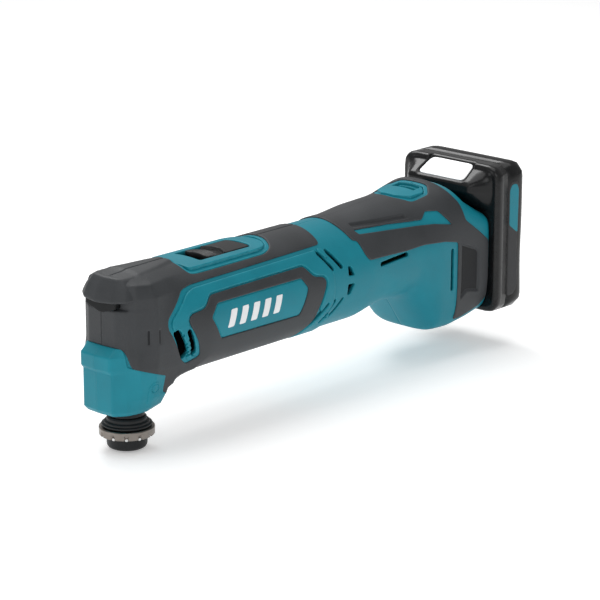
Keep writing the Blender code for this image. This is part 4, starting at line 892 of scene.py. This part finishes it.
def turned(profile, count, shape=None):
    """A profile of radius and height carried round Z, closed at both ends where it meets the axis or
    itself.
    """
    profile = np.array(profile, float)
    angle = np.linspace(0, 2 * math.pi, count, endpoint=False)
    r, z = np.broadcast_to(profile[:, :1], (len(profile), count)), np.broadcast_to(profile[:, 1:],
        (len(profile), count))
    if shape:
        r, z = shape(r.copy(), z.copy(), np.broadcast_to(angle, r.shape))
    points = np.stack([r * np.cos(angle), r * np.sin(angle), z], -1).reshape(-1, 3)
    n = np.arange(len(profile) * count).reshape(len(profile), count)
    after = np.roll(n, -1, 1)
    faces = np.stack([n[:-1], after[:-1], after[1:], n[1:]], -1).reshape(-1, 4)
    return points, faces


def eased(profile, blur=1.0, fill=6):
    """A profile filled in with straight lines and slightly blurred, so its corners are rounded."""
    profile = np.array(profile, float)
    long = np.concatenate([[0], np.cumsum(np.hypot(*np.diff(profile, axis=0).T))])
    along = np.linspace(0, long[-1], int(long[-1] * fill) + 2)
    return np.stack([soft_line(np.interp(along, long, profile[:, k]), blur) for k in (0, 1)], -1)


def notches(r, z, angle):
    """Cuts twelve notches up from the lower edge of the ring."""
    place = (angle * 12 / (2 * math.pi)) % 1.0
    cut = (np.abs(place - 0.5) < 0.155) & (z < 9.0) & (r > 11.8)
    return np.where(cut, 11.8, r), z


ring_points, ring_faces = turned(eased(((6.2, 6.9), (9.9, 6.9), (10.2, 6.5), (12.9, 6.5), (13.3, 6.9),
                                        (13.3, 10.3), (12.9, 10.7), (11.8, 10.8),
                                        (11.6, 10.5), (6.2, 10.5), (6.2, 6.9)), 0.8, 9), 360, notches)
finish_mesh("notched_ring", ring_points, ring_faces, "spindle", "holder_flange", "dark_steel", notched_steel)
bright_nub = moulded("bright_nub", (0.62, 0.61, 0.60), (0.72, 0.71, 0.70), (0.85, 0.85, 0.84), 0.2,
                     grain=1400.0, bump=0.04, metal=1.0)
nub_points, nub_faces = turned(eased(((0.0, 0.75), (0.7, 0.62), (0.95, 0.2), (0.95, -0.4), (0.0, -0.4)),
                                     0.5, 8), 20)
nubs, nub_quads = [], []
for k in range(12):
    at = (k + 0.5) * math.pi / 6
    x, y, z = nub_points.T
    nubs.append(np.stack([(11.9 + z) * math.cos(at) - y * math.sin(at),
                          (11.9 + z) * math.sin(at) + y * math.cos(at), 6.9 + x], -1))
    nub_quads.append(nub_faces + k * len(nub_points))
finish_mesh("ring_nubs", np.concatenate(nubs), np.concatenate(nub_quads), "spindle", None, "bright_steel",
            bright_nub)
seal_points, seal_faces = turned(eased(((8.0, 11.2), (11.9, 11.2), (12.1, 11.5), (12.0, 12.1), (10.9, 12.4),
                                        (10.8, 13.2), (10.1, 13.6), (9.6, 13.7),
                                        (9.5, 14.9), (8.9, 15.6), (8.0, 15.7), (8.0, 11.2)), 0.8, 9), 128)
finish_mesh("spindle_seal", seal_points, seal_faces, "spindle", "dust_cover", "dark_steel", seal_black)
clamp_points, clamp_faces = turned(eased(((3.6, 3.5), (6.95, 3.5), (6.95, 0.35), (7.3, 0.0), (8.0, 0.02),
                                          (9.0, 0.6), (9.55, 1.5), (9.7, 2.8), (9.7, 6.0),
                                          (9.4, 6.2), (3.6, 6.2), (3.6, 3.5)), 0.9, 9), 128)
finish_mesh("clamp_boss", clamp_points, clamp_faces, "clamp", "clamp_flange", "black_plastic", slider_black)

# --- Inside and small parts ---------------------------------------------------------------------
# The nodes that keep their own shape: motor, drive, bearings, boards, cells, leads and screws, each
# in the finish of its material slot.
slot_paint = {
    "dark_steel": moulded("dark_steel", (0.050, 0.050, 0.053), (0.085, 0.085, 0.09), (0.3, 0.3, 0.31), 0.38,
                          metal=1.0, bump=0.08),
    "bright_steel": moulded("bright_steel", (0.52, 0.52, 0.53), (0.62, 0.62, 0.63), (0.8, 0.8, 0.8), 0.22,
                            grain=1500.0, metal=1.0, bump=0.04),
    "cast_aluminium": moulded("cast_aluminium", (0.36, 0.37, 0.38), (0.46, 0.47, 0.48), (0.7, 0.7, 0.7),
                              0.48, grain=700.0, metal=1.0, bump=0.35),
    "copper": moulded("copper", (0.62, 0.24, 0.12), (0.75, 0.32, 0.17), (0.9, 0.5, 0.35), 0.28,
                      grain=1600.0, metal=1.0, bump=0.10),
    "brass": moulded("brass", (0.55, 0.38, 0.13), (0.68, 0.48, 0.18), (0.85, 0.7, 0.4), 0.26, metal=1.0,
                     bump=0.05),
    "carbon": moulded("carbon", (0.018, 0.018, 0.020), (0.030, 0.030, 0.032), (0.1, 0.1, 0.1), 0.62,
                      grain=1300.0, bump=0.30),
    "ferrite": moulded("ferrite", (0.030, 0.028, 0.028), (0.045, 0.042, 0.042), (0.12, 0.12, 0.12), 0.58,
                       grain=800.0, bump=0.25),
    "circuit_green": moulded("circuit_green", (0.008, 0.085, 0.035), (0.012, 0.110, 0.045),
                             (0.1, 0.3, 0.15), 0.35, coat=0.3, bump=0.05),
    "cell_wrap": moulded("cell_wrap", (0.020, 0.150, 0.330), (0.028, 0.180, 0.380), (0.2, 0.4, 0.6), 0.33,
                         coat=0.3, bump=0.03),
    "lead_red": moulded("lead_red", (0.48, 0.018, 0.014), (0.56, 0.026, 0.020), (0.7, 0.1, 0.1), 0.44,
                        bump=0.06),
    "lead_black": moulded("lead_black", (0.012, 0.012, 0.013), (0.018, 0.018, 0.019), (0.06, 0.06, 0.06),
                          0.46, bump=0.06),
    "clear_lens": smoked, "black_plastic": slider_black, "grey_plastic": pack_grey,
    "grip_rubber": grip_rubber,
    "teal_nylon": teal_nylon,
}
slot_of = {row["node"]: row["material_slot"] for row in frame["record"]["subparts"]}
for name, node in frame["nodes"].items():
    if node.hide_render:
        continue
    node.data.materials.clear()
    node.data.materials.append(slider_black if name == "gear_case" else slot_paint[slot_of[name]])
